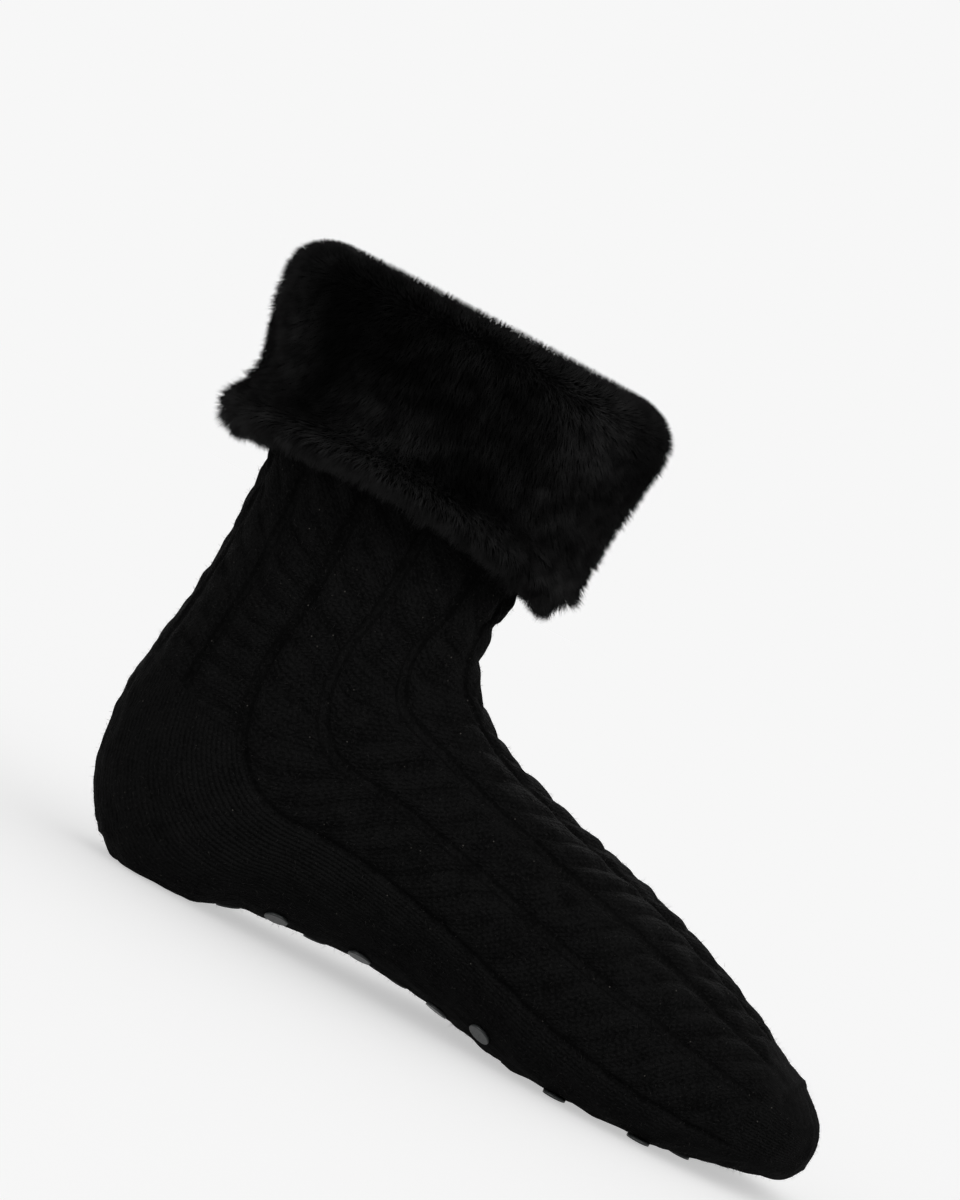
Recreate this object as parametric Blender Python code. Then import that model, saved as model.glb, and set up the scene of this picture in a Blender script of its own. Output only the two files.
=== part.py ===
"""Knitted slipper sock with a turned-down plush cuff and rubber grip dots under the sole.

Metres, +Z up, +X from heel to toe. The origin is on the floor, midway between the back of the
cuff and the toe.
"""

import math
from collections import namedtuple

import bpy
import bmesh
import numpy as np
from mathutils import Matrix, Vector

# Foot of the knit, measured over its outside
FOOT_LENGTH = 0.250
BALL_WIDTH = 0.096
INSTEP_HEIGHT = 0.082
TOE_SPRING = 0.012
ARCH_HEIGHT = 0.0055
HEEL_WIDTH = 0.071
PRESS_DEPTH = 0.0030

# Leg of the knit
ANKLE_RISE = 0.037
LEG_RISE = 0.0672
LEG_DEPTH = 0.084
LEG_WIDTH = 0.073
LEG_CENTRE = 0.049

# Knit fabric: its wall, and the purl channels between the cable columns
WALL = 0.0030
CABLE_COLUMNS = 12
CHANNEL_DEPTH = 0.0011

# Plush cuff, turned down over the leg
CUFF_THICKNESS = 0.0148
CREST_HEIGHT = 0.0087
CUFF_DROP_FRONT = 0.0700
CUFF_DROP_SIDE = 0.0600
CUFF_DROP_BACK = 0.0637
TURN_IN = 0.0200
TURN_IN_THICKNESS = 0.0050
LOCK_RISE = 0.0019
LOCK_LEAN = 0.0016

# Rubber grip dots
DOT_RADIUS = 0.0037
DOT_TOP_RADIUS = 0.0022
DOT_HEIGHT = 0.0009
DOT_CHAMFER = 0.0004

# Clearance between pieces that touch, and the room that coarse facets of the lining need
GAP = 0.0003
FACET_ROOM = 0.0005

# Mesh density
RING_SIDES = 48
SECTIONS_PER_ROW = 2
CUFF_SIDES = 64
DOT_SIDES = 10

# Under the ball the knit lies this high, so that the dots reach the floor. The heel has no
# dots, and its knit meets the floor.
SOLE_PLANE = DOT_HEIGHT + GAP
ANKLE_HEIGHT = INSTEP_HEIGHT + ANKLE_RISE
COLLAR_HEIGHT = ANKLE_HEIGHT + LEG_RISE
CUFF_TOP = COLLAR_HEIGHT + GAP + CREST_HEIGHT

# The grid of dots follows the foot that it is printed on
DOT_START = 0.232 * FOOT_LENGTH
DOT_PITCH = 0.112 * FOOT_LENGTH
DOT_ROW_SPACING = BALL_WIDTH / 6

# The origin, measured forward from the back of the heel
CUFF_BACK = LEG_CENTRE - 1.03 * LEG_DEPTH / 2 - 1.31 * CUFF_THICKNESS - LOCK_RISE
ORIGIN = (FOOT_LENGTH + CUFF_BACK) / 2

# Sections of the foot from the toe back to the instep. under and over are where the section
# meets the sole and the instep, as shares of the foot's length from the back of the heel.
# spring, arch and press are shares of TOE_SPRING, ARCH_HEIGHT and PRESS_DEPTH, height of
# INSTEP_HEIGHT and width of BALL_WIDTH. widest is the share of the section's height at
# which it is widest, and crown and base are the roundness of its upper and lower half.
FootRow = namedtuple("FootRow", "under spring arch press over height width widest crown base")
FOOT_ROWS = [
    FootRow(0.996, 0.86, 0.00, 0.0, 0.997, 0.274, 0.190, 0.50, 2.0, 2.0),
    FootRow(0.984, 0.57, 0.00, 0.0, 0.986, 0.335, 0.370, 0.47, 2.0, 2.1),
    FootRow(0.960, 0.37, 0.00, 0.0, 0.964, 0.396, 0.550, 0.44, 2.0, 2.2),
    FootRow(0.920, 0.22, 0.00, 0.1, 0.924, 0.473, 0.725, 0.41, 2.0, 2.4),
    FootRow(0.860, 0.08, 0.00, 0.4, 0.865, 0.561, 0.870, 0.38, 2.0, 2.6),
    FootRow(0.792, 0.00, 0.00, 0.9, 0.798, 0.652, 0.960, 0.36, 2.0, 2.8),
    FootRow(0.720, 0.00, 0.00, 1.0, 0.728, 0.738, 1.000, 0.36, 2.0, 2.9),
    FootRow(0.640, 0.00, 0.00, 0.9, 0.652, 0.811, 0.975, 0.37, 2.0, 2.8),
    FootRow(0.560, 0.00, 0.28, 0.2, 0.572, 0.878, 0.905, 0.39, 2.0, 2.5),
    FootRow(0.480, 0.00, 0.78, 0.0, 0.504, 0.939, 0.835, 0.42, 2.0, 2.3),
    FootRow(0.400, 0.00, 1.00, 0.0, 0.448, 1.000, 0.785, 0.44, 2.0, 2.2),
]

# Sections that fan round the heel to the ankle. rise is a share of ANKLE_HEIGHT at the
# back, bend of ANKLE_RISE at the front, and width of HEEL_WIDTH.
HeelRow = namedtuple("HeelRow", "under arch press rise over bend width widest crown base")
HEEL_ROWS = [
    HeelRow(0.320, 1.00, 0.0, 0.000, 0.410, 0.16, 1.020, 0.46, 2.0, 2.2),
    HeelRow(0.240, 0.65, 0.0, 0.000, 0.388, 0.30, 1.000, 0.47, 2.0, 2.3),
    HeelRow(0.176, 0.00, 0.7, 0.000, 0.376, 0.41, 0.990, 0.48, 2.0, 2.4),
    HeelRow(0.112, 0.00, 1.0, 0.000, 0.369, 0.50, 0.985, 0.48, 2.0, 2.4),
    HeelRow(0.052, 0.00, 0.0, 0.045, 0.365, 0.59, 0.985, 0.48, 2.0, 2.2),
    HeelRow(0.018, 0.00, 0.0, 0.150, 0.363, 0.68, 0.985, 0.48, 2.0, 2.1),
    HeelRow(0.003, 0.00, 0.0, 0.275, 0.362, 0.77, 0.990, 0.48, 2.0, 2.0),
    HeelRow(0.000, 0.00, 0.0, 0.410, 0.361, 0.85, 0.995, 0.49, 2.0, 2.0),
    HeelRow(0.010, 0.00, 0.0, 0.545, 0.362, 0.91, 1.000, 0.50, 2.0, 2.0),
    HeelRow(0.021, 0.00, 0.0, 0.690, 0.363, 0.95, 1.010, 0.50, 2.0, 2.0),
    HeelRow(0.028, 0.00, 0.0, 0.850, 0.363, 0.98, 1.020, 0.50, 2.0, 2.0),
]

# Level sections of the leg. rise is a share of LEG_RISE, and depth and width of the leg's.
LegRow = namedtuple("LegRow", "rise depth width")
LEG_ROWS = [
    LegRow(0.00, 1.000, 1.000),
    LegRow(0.30, 1.040, 1.035),
    LegRow(0.65, 1.090, 1.090),
    LegRow(1.00, 1.125, 1.125),
]

# Outline of the cuff, from its end inside the leg, up over the crest and down to the hem
# outside. side is in or out, drop the share of that side's length, reach the share of its
# thickness. The plush side is listed here, and the backing follows from it.
PlushRow = namedtuple("PlushRow", "side drop reach")
PLUSH_ROWS = [
    PlushRow("in", 0.97, 0.55),
    PlushRow("in", 0.82, 0.95),
    PlushRow("in", 0.55, 1.00),
    PlushRow("in", 0.28, 0.90),
    PlushRow("in", 0.09, 0.55),
    PlushRow("out", 0.00, 0.12),
    PlushRow("out", 0.03, 0.52),
    PlushRow("out", 0.09, 0.80),
    PlushRow("out", 0.18, 0.95),
    PlushRow("out", 0.28, 1.01),
    PlushRow("out", 0.38, 1.03),
    PlushRow("out", 0.48, 1.01),
    PlushRow("out", 0.57, 0.98),
    PlushRow("out", 0.66, 0.96),
    PlushRow("out", 0.74, 1.05),
    PlushRow("out", 0.82, 1.24),
    PlushRow("out", 0.90, 1.31),
    PlushRow("out", 0.97, 1.16),
    PlushRow("out", 1.00, 0.80),
    PlushRow("out", 0.98, 0.44),
]

# Backing of the skirt, from the hem up to the top of the knit. off is the share of the
# cuff's thickness by which it stands off the leg.
BackingRow = namedtuple("BackingRow", "drop off")
BACKING_ROWS = [
    BackingRow(0.93, 0.16),
    BackingRow(0.75, 0.10),
    BackingRow(0.50, 0.06),
    BackingRow(0.25, 0.02),
]

# Soft troughs and lumps of the plush. turn is the share of the way round from the front,
# by the side that the toe points right on, drop as above, and size and depth are shares
# of the cuff's thickness, with a trough negative.
PlushDent = namedtuple("PlushDent", "turn drop size depth")
PLUSH_DENTS = [
    PlushDent(0.13, 0.30, 1.0, 0.16),
    PlushDent(0.22, 0.45, 1.3, -0.14),
    PlushDent(0.31, 0.48, 0.9, 0.10),
    PlushDent(0.40, 0.28, 1.1, 0.12),
    PlushDent(0.36, 0.66, 1.2, -0.10),
    PlushDent(0.47, 0.62, 0.9, -0.14),
    PlushDent(0.19, 0.74, 1.1, -0.10),
    PlushDent(0.62, 0.40, 1.2, 0.12),
    PlushDent(0.72, 0.55, 1.1, -0.14),
    PlushDent(0.83, 0.32, 1.1, 0.12),
    PlushDent(0.93, 0.60, 1.0, -0.10),
]

# Rows of grip dots: across is how many row spacings off the middle, first and last are
# steps of half a pitch from the rearmost dot.
DotRow = namedtuple("DotRow", "across first last")
DOT_ROWS = [
    DotRow(0, 0, 12),
    DotRow(1, 1, 11),
    DotRow(-1, 1, 11),
    DotRow(2, 6, 10),
    DotRow(-2, 6, 10),
]

Section = namedtuple("Section", "under_x under_z over_x over_z half_width widest crown base floor")


def clear_scene():
    """Removes whatever the file holds."""
    for obj in list(bpy.data.objects):
        bpy.data.objects.remove(obj, do_unlink=True)


def material(name, colour, roughness, metallic=0.0):
    """A Principled material with one colour and finish."""
    made = bpy.data.materials.new(name)
    made.use_nodes = True
    shader = made.node_tree.nodes["Principled BSDF"]
    shader.inputs["Base Color"].default_value = (*colour, 1.0)
    shader.inputs["Roughness"].default_value = roughness
    shader.inputs["Metallic"].default_value = metallic
    return made


def add_object(name, bm, finish, smooth_angle=None):
    """Turns the bmesh into a named object with its finish."""
    mesh = bpy.data.meshes.new(name)
    bm.to_mesh(mesh)
    bm.free()
    mesh.materials.append(finish)
    if smooth_angle is not None:
        mesh.shade_smooth()
        mesh.set_sharp_from_angle(angle=smooth_angle)
    obj = bpy.data.objects.new(name, mesh)
    bpy.context.scene.collection.objects.link(obj)
    return obj


def foot_section(row):
    """Sizes of one section of the foot, with its lengths made into places."""
    lift = row.spring * TOE_SPRING + row.arch * ARCH_HEIGHT - row.press * PRESS_DEPTH
    return Section(
        row.under * FOOT_LENGTH - ORIGIN,
        SOLE_PLANE + lift,
        row.over * FOOT_LENGTH - ORIGIN,
        row.height * INSTEP_HEIGHT,
        row.width * BALL_WIDTH / 2,
        row.widest,
        row.crown,
        row.base,
        SOLE_PLANE,
    )


def heel_section(row):
    """Sizes of one slanted section of the heel."""
    lift = row.arch * ARCH_HEIGHT - row.press * PRESS_DEPTH
    return Section(
        row.under * FOOT_LENGTH - ORIGIN,
        lift + row.rise * ANKLE_HEIGHT,
        row.over * FOOT_LENGTH - ORIGIN,
        INSTEP_HEIGHT + row.bend * ANKLE_RISE,
        row.width * HEEL_WIDTH / 2,
        row.widest,
        row.crown,
        row.base,
        0.0,
    )


def leg_section(row):
    """Sizes of one level section of the leg."""
    height = ANKLE_HEIGHT + row.rise * LEG_RISE
    half_depth = row.depth * LEG_DEPTH / 2
    middle = LEG_CENTRE - ORIGIN
    return Section(
        middle - half_depth,
        height,
        middle + half_depth,
        height,
        row.width * LEG_WIDTH / 2,
        0.5,
        2.0,
        2.0,
        0.0,
    )


def blended(rows, steps):
    """Sections between the rows, along a smooth curve that never passes the rows' own values."""
    table = np.array(rows, float)
    rise = np.diff(table, axis=0)
    product = rise[:-1] * rise[1:]
    together = np.where(product > 0, rise[:-1] + rise[1:], 1.0)
    slope = np.vstack([rise[0], np.where(product > 0, 2 * product / together, 0.0), rise[-1]])
    made = []
    for place in np.linspace(0, len(table) - 1, (len(table) - 1) * steps + 1):
        k = min(int(place), len(table) - 2)
        f = place - k
        value = table[k] + f * f * (3 - 2 * f) * rise[k]
        value += f * (1 - f) * ((1 - f) * slope[k] - f * slope[k + 1])
        made.append(Section(*value))
    return made


def ring(section, sides):
    """Points round a section, evenly spaced from the instep or shin down the side of -Y.

    The floor presses the underside flat.
    """
    under = np.array([section.under_x, 0, section.under_z])
    over = np.array([section.over_x, 0, section.over_z])
    middle = under + section.widest * (over - under)
    angle = np.linspace(0, 2 * math.pi, 16 * sides + 1)
    up, side = np.cos(angle), -np.sin(angle)
    power = 2 / np.where(up > 0, section.crown, section.base)
    up_share = np.abs(up) ** power
    side_share = np.sign(side) * np.abs(side) ** power
    points = middle + np.where(
        (up > 0)[:, None], up_share[:, None] * (over - middle), up_share[:, None] * (under - middle)
    )
    points[:, 1] = side_share * section.half_width
    points[:, 2] = np.maximum(points[:, 2], section.floor)
    return evenly_spaced(points, sides)


def evenly_spaced(points, sides):
    """The closed line's points at equal steps of its length, the last one left out."""
    steps = np.linalg.norm(np.diff(points, axis=0), axis=1)
    length = np.concatenate([[0], np.cumsum(steps)])
    places = np.linspace(0, length[-1], sides, endpoint=False)
    return np.stack([np.interp(places, length, points[:, k]) for k in range(3)], axis=1)


def outward_normals(grid):
    """Outward directions at the points of a grid of rings."""
    along = np.gradient(grid, axis=0)
    around = np.roll(grid, -1, axis=1) - np.roll(grid, 1, axis=1)
    normal = np.cross(along, around)
    return normal / np.linalg.norm(normal, axis=2)[:, :, None]


def cable_share(grid):
    """How much of the channel relief each point takes: none on the sole and the heel cup."""
    turn = np.arange(RING_SIDES) / RING_SIDES
    side_channel = (CABLE_COLUMNS // 4 + 0.5) / CABLE_COLUMNS
    below = np.minimum(turn, 1 - turn) > side_channel + 0.5 / RING_SIDES
    on_leg = grid[:, :, 2] > 0.5 * ANKLE_HEIGHT
    front = grid[:, :, 0] > LEG_CENTRE - ORIGIN
    plain = below[None, :] & ~(on_leg & ~front)
    toe = grid[:, :, 0] > 0.93 * FOOT_LENGTH - ORIGIN
    return np.where(plain | toe, 0.0, 1.0)


def skin(bm, rings, outward):
    """Faces between rings of vertices, facing outwards or, for a lining, inwards."""
    for near, far in zip(rings, rings[1:]):
        for k, corner in enumerate(near):
            beside = (k + 1) % len(near)
            quad = [corner, far[k], far[beside], near[beside]]
            bm.faces.new(quad if outward else quad[::-1])


def cap(bm, loop, tip, outward):
    """Closes a ring of vertices onto a pole."""
    for k, corner in enumerate(loop):
        triangle = [tip, corner, loop[(k + 1) % len(loop)]]
        bm.faces.new(triangle if outward else triangle[::-1])


def knit_grid():
    """The knit's plain outer surface: rings from the toe to the collar."""
    rows = [foot_section(r) for r in FOOT_ROWS]
    rows += [heel_section(r) for r in HEEL_ROWS]
    rows += [leg_section(r) for r in LEG_ROWS]
    sections = blended(rows, SECTIONS_PER_ROW)
    return np.array([ring(s, RING_SIDES) for s in sections])


def build_knit(finish):
    """Foot and leg, knitted whole: one hollow wall, open at the collar.

    The lining side has half as many sides and rings as the outside.
    """
    plain = knit_grid()
    normals = outward_normals(plain)
    every = RING_SIDES // CABLE_COLUMNS
    channels = np.arange(RING_SIDES) % every == every // 2
    relief = channels[None, :] * cable_share(plain) * CHANNEL_DEPTH
    outside = plain - normals * relief[:, :, None]
    inside = (plain - normals * WALL)[::2, ::2]
    outside[-1, :, 2] = COLLAR_HEIGHT
    inside[-1, :, 2] = COLLAR_HEIGHT

    bm = bmesh.new()
    outer = [[bm.verts.new(p) for p in loop] for loop in outside]
    inner = [[bm.verts.new(p) for p in loop] for loop in inside]
    skin(bm, outer, True)
    skin(bm, inner, False)
    toe = Vector((FOOT_LENGTH - ORIGIN, 0, outside[0, :, 2].mean()))
    cap(bm, outer[0], bm.verts.new(toe), True)
    cap(bm, inner[0], bm.verts.new(toe - Vector((WALL, 0, 0))), False)
    top, lining = outer[-1], inner[-1]
    for k, corner in enumerate(lining):
        beside = lining[(k + 1) % len(lining)]
        a, b, c = (top[(2 * k + step) % len(top)] for step in range(3))
        for triangle in ([a, corner, b], [b, beside, c], [b, corner, beside]):
            bm.faces.new(triangle)
    return add_object("knit_foot_and_leg", bm, finish, math.radians(50))


def leg_outline(heights, turns):
    """Points of the leg's outside and their level outward directions."""
    rows = np.array([(r.rise, r.depth, r.width) for r in LEG_ROWS])
    share = (heights - ANKLE_HEIGHT) / LEG_RISE
    half_depth = np.interp(share, rows[:, 0], rows[:, 1]) * LEG_DEPTH / 2
    half_width = np.interp(share, rows[:, 0], rows[:, 2]) * LEG_WIDTH / 2
    angle = 2 * math.pi * turns
    points = np.stack([half_depth * np.cos(angle), -half_width * np.sin(angle), heights], axis=-1)
    points[..., 0] += LEG_CENTRE - ORIGIN
    normal = np.stack([half_width * np.cos(angle), -half_depth * np.sin(angle), 0 * heights], axis=-1)
    return points, normal / np.linalg.norm(normal, axis=-1)[..., None]


def cuff_drop(turns):
    """How far the hem hangs below the crest: lowest in front, highest at the sides."""
    ends = (CUFF_DROP_FRONT + CUFF_DROP_BACK) / 2
    sway = (CUFF_DROP_FRONT - CUFF_DROP_BACK) / 2
    drop = CUFF_DROP_SIDE + (ends - CUFF_DROP_SIDE) * (np.cos(4 * math.pi * turns) + 1) / 2
    return drop + sway * np.cos(2 * math.pi * turns)


def plush_dents(turns, share):
    """Lumps and troughs of the plush at a share of the drop, as a reach in metres."""
    girth = math.pi * (LEG_DEPTH + LEG_WIDTH + 2 * CUFF_THICKNESS) / 2
    total = np.zeros_like(turns)
    for dent in PLUSH_DENTS:
        off = (turns - dent.turn + 0.5) % 1.0 - 0.5
        across = off * girth / (dent.size * CUFF_THICKNESS)
        down = (share - dent.drop) * CUFF_DROP_SIDE / (dent.size * CUFF_THICKNESS)
        total += dent.depth * CUFF_THICKNESS * np.exp(-(across**2) - down**2)
    return total


def cuff_lines(turns):
    """Outline of the cuff's section at each turn: heights and reaches off the leg's outside."""
    drop = cuff_drop(turns)
    in_face = -(WALL + FACET_ROOM + GAP)
    heights, reaches, plush = [], [], []
    for row in PLUSH_ROWS:
        if row.side == "in":
            heights.append(CUFF_TOP - row.drop * (CREST_HEIGHT + GAP + TURN_IN) + 0 * turns)
            reaches.append(in_face - row.reach * TURN_IN_THICKNESS + 0 * turns)
        else:
            heights.append(CUFF_TOP - row.drop * drop)
            reaches.append(row.reach * CUFF_THICKNESS + plush_dents(turns, row.drop) * min(1, 4 * row.drop))
        plush.append(True)
    for row in BACKING_ROWS:
        heights.append(CUFF_TOP - row.drop * drop)
        reaches.append(GAP + row.off * CUFF_THICKNESS + 0 * turns)
        plush.append(False)
    for height, reach in (
        (COLLAR_HEIGHT + GAP, GAP),
        (COLLAR_HEIGHT + GAP, in_face),
        (COLLAR_HEIGHT - TURN_IN / 2, in_face),
        (COLLAR_HEIGHT - TURN_IN + GAP, in_face),
    ):
        heights.append(height + 0 * turns)
        reaches.append(reach + 0 * turns)
        plush.append(False)
    return np.array(heights), np.array(reaches), np.array(plush)


def add_locks(heights, reaches, plush):
    """Every second point of the plush, in staggered rows, is the tip of a lock that leans to the hem."""
    before = np.roll(reaches, 1, axis=0), np.roll(heights, 1, axis=0)
    after = np.roll(reaches, -1, axis=0), np.roll(heights, -1, axis=0)
    along_reach, along_height = after[0] - before[0], after[1] - before[1]
    length = np.hypot(along_reach, along_height)
    out_reach, out_height = -along_height / length, along_reach / length
    row, column = np.indices(heights.shape)
    tip = ((row + column) % 2 == 0) & plush[:, None]
    tall = 0.8 + 0.4 * np.abs(np.sin(1.7 * row + 2.9 * column))
    rise = np.where(tip, LOCK_RISE * tall, 0)
    lean = np.where(tip, LOCK_LEAN * tall, 0)
    return (
        heights + rise * out_height + lean * along_height / length,
        reaches + rise * out_reach + lean * along_reach / length,
        tip,
    )


def build_cuff(finish):
    """Plush band: its end lies inside the collar, and its skirt hangs outside the leg."""
    turns = np.arange(CUFF_SIDES) / CUFF_SIDES
    heights, reaches, plush = cuff_lines(turns)
    heights, reaches, tip = add_locks(heights, reaches, plush)
    base, normal = leg_outline(heights, np.broadcast_to(turns, heights.shape))
    points = base + normal * reaches[..., None]
    points[..., 2] = heights

    bm = bmesh.new()
    verts = [[bm.verts.new(p) for p in loop] for loop in points]
    for i, near in enumerate(verts):
        far = verts[(i + 1) % len(verts)]
        for k in range(CUFF_SIDES):
            j = (k + 1) % CUFF_SIDES
            corners = [near[k], far[k], far[j], near[j]]
            turned = tip[i, k] or tip[(i + 1) % len(verts), j]
            a, b, c, d = corners[1:] + corners[:1] if turned else corners
            bm.faces.new((a, c, b))
            bm.faces.new((a, d, c))
    bmesh.ops.recalc_face_normals(bm, faces=bm.faces)
    return add_object("plush_cuff", bm, finish, math.radians(70))


def sole_point(grid, along, aside):
    """Point of a grid under the sole, along it from the back of the heel and aside of the midline."""
    half = RING_SIDES // 2
    midline = grid[:, half, 0]
    rear = int(np.argmin(midline))
    place = np.interp(ORIGIN - along, -midline[: rear + 1], np.arange(rear + 1))
    k = min(int(place), rear - 1)
    loop = grid[k] + (place - k) * (grid[k + 1] - grid[k])
    where = half + aside / np.linalg.norm(loop[half + 1] - loop[half])
    return np.array([np.interp(where, np.arange(RING_SIDES), loop[:, n]) for n in range(3)])


def dot_seat(grid, along, aside):
    """Where a dot sits, and which way it faces: flat on the floor wherever it meets the floor."""
    point = sole_point(grid, along, aside)
    front, rear = (sole_point(grid, along + step, aside) for step in (DOT_RADIUS, -DOT_RADIUS))
    left, right = (sole_point(grid, along, aside + step) for step in (DOT_RADIUS, -DOT_RADIUS))
    normal = Vector(np.cross(left - right, front - rear)).normalized()
    if normal.z > 0:
        normal = -normal
    rim_drop = (GAP + DOT_HEIGHT) * -normal.z + DOT_RADIUS * math.hypot(normal.x, normal.y)
    if point[2] < rim_drop:
        return Vector((point[0], point[1], SOLE_PLANE)), Vector((0, 0, -1))
    return Vector(point), normal


def build_dot(name, point, normal, finish):
    """One drop of rubber: a low round pad with a chamfered rim and a flat face."""
    bm = bmesh.new()
    bmesh.ops.create_cone(
        bm,
        cap_ends=True,
        segments=DOT_SIDES,
        radius1=DOT_RADIUS,
        radius2=DOT_TOP_RADIUS + DOT_CHAMFER,
        depth=DOT_HEIGHT,
        matrix=Matrix.Translation((0, 0, DOT_HEIGHT / 2)),
    )
    rim = [e for e in bm.edges if all(v.co.z > DOT_HEIGHT / 2 for v in e.verts)]
    bmesh.ops.bevel(bm, geom=rim, offset=DOT_CHAMFER, segments=1, affect="EDGES")
    obj = add_object(name, bm, finish)
    obj.location = point + normal * GAP
    obj.rotation_mode = "QUATERNION"
    obj.rotation_quaternion = normal.to_track_quat("Z", "Y")
    return obj


def build_dots(finish):
    """The staggered grid of grip dots under arch, ball and toes."""
    grid = knit_grid()
    number = 0
    for row in DOT_ROWS:
        for step in range(row.first, row.last + 1, 2):
            number += 1
            along = DOT_START + step * DOT_PITCH / 2
            seat = dot_seat(grid, along, row.across * DOT_ROW_SPACING)
            build_dot(f"grip_dot_{number:02d}", *seat, finish)


def main():
    """Builds the sock."""
    clear_scene()
    knit = material("black_wool_knit", (0.010, 0.010, 0.010), 0.95)
    plush = material("black_plush", (0.005, 0.005, 0.005), 0.90)
    rubber = material("dark_grey_rubber", (0.060, 0.062, 0.060), 0.45)
    build_knit(knit)
    build_cuff(plush)
    build_dots(rubber)


main()
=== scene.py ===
"""Looks of a knitted slipper sock with a turned-down plush cuff and rubber grip dots.

Metres, in the CAD's frame: +X from heel to toe, +Z up, the floor at z = 0. The side that the
photo shows looks towards -Y. Turns count from 0 to 1 round the leg, from its front down that side.
"""

import logging
import math
from dataclasses import dataclass, field
from enum import Enum

import bpy
import numpy as np
from bpy.types import Material, Mesh, Node, NodeSocket, NodeTree, Object, Scene
from mathutils import Matrix, Vector

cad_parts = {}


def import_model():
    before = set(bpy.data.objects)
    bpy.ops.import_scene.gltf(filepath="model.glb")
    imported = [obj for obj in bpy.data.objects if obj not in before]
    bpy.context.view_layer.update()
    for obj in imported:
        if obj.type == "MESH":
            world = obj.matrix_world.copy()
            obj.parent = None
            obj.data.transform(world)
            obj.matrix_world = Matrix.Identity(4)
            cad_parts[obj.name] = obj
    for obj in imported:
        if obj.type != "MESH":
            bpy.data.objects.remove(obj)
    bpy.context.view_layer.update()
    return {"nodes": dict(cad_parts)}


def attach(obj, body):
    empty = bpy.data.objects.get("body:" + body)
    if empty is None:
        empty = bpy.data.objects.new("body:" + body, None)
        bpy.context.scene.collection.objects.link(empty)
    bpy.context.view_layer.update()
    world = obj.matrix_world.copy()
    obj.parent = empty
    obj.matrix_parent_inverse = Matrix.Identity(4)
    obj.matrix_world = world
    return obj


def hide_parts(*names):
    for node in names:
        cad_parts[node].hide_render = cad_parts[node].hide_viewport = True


LOG = logging.getLogger("slipper_sock")
FULL_TURN = 2 * math.pi
MM_PER_M = 1000
MERGE_DISTANCE = 2e-6
Array = np.ndarray


def linear(hex_colour: str) -> tuple[float, float, float, float]:
    """An sRGB hex colour as the linear colour that the shader takes.

    Args:
        hex_colour: such as "#1a2b3c".

    Returns:
        Linear red, green, blue and an alpha of 1.
    """
    values = [int(hex_colour[k : k + 2], 16) / 255 for k in (1, 3, 5)]
    bent = [v / 12.92 if v <= 0.04045 else ((v + 0.055) / 1.055) ** 2.4 for v in values]
    return (bent[0], bent[1], bent[2], 1.0)


def smooth_step(value: Array, low: float, high: float) -> Array:
    """0 below low, 1 above high, and a soft curve between them."""
    share = np.clip((value - low) / (high - low), 0.0, 1.0)
    return share * share * (3 - 2 * share)


def unit(vectors: Array) -> Array:
    """Vectors along the last axis, made one long."""
    return vectors / np.maximum(np.linalg.norm(vectors, axis=-1, keepdims=True), 1e-12)


def turns_off(turns: Array, turn: float) -> Array:
    """How far turns lie from one turn, the shorter way round, from -0.5 to 0.5."""
    return (turns - turn + 0.5) % 1.0 - 0.5


def drawn_by_odds(odds: Array, count: int, rng: np.random.Generator) -> Array:
    """Draws faces by their odds, one from each equal share of the total, so that none crowd.

    Args:
        odds: of each face; they need not add up to 1.
        count: how many are drawn.
        rng: gives the place of each draw within its share.

    Returns:
        The number of the face that each draw fell on.
    """
    edges = np.concatenate([[0], np.cumsum(odds / odds.sum())])
    chance = (np.arange(count) + rng.random(count)) / count
    return np.clip(np.searchsorted(edges, chance, side="right") - 1, 0, len(odds) - 1)


def feed(node: Node, inputs: dict) -> None:
    """Sets inputs of a node.

    Args:
        node: in a tree already.
        inputs: by number or name, a value, or the node or socket that feeds the input.
    """
    for key, value in inputs.items():
        source = value.outputs[0] if isinstance(value, Node) else value
        if isinstance(source, NodeSocket):
            node.id_data.links.new(source, node.inputs[key])
        else:
            node.inputs[key].default_value = source


def add_node(tree: NodeTree, kind: str, inputs: dict | None = None, **properties: object) -> Node:
    """Adds one node to a material or world.

    Args:
        tree: the node tree.
        kind: Blender's name of the node type, without ShaderNode.
        inputs: what feed takes.
        **properties: the node's own settings.

    Returns:
        The node.
    """
    node = tree.nodes.new("ShaderNode" + kind)
    for name, value in properties.items():
        setattr(node, name, value)
    feed(node, inputs or {})
    return node


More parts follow.
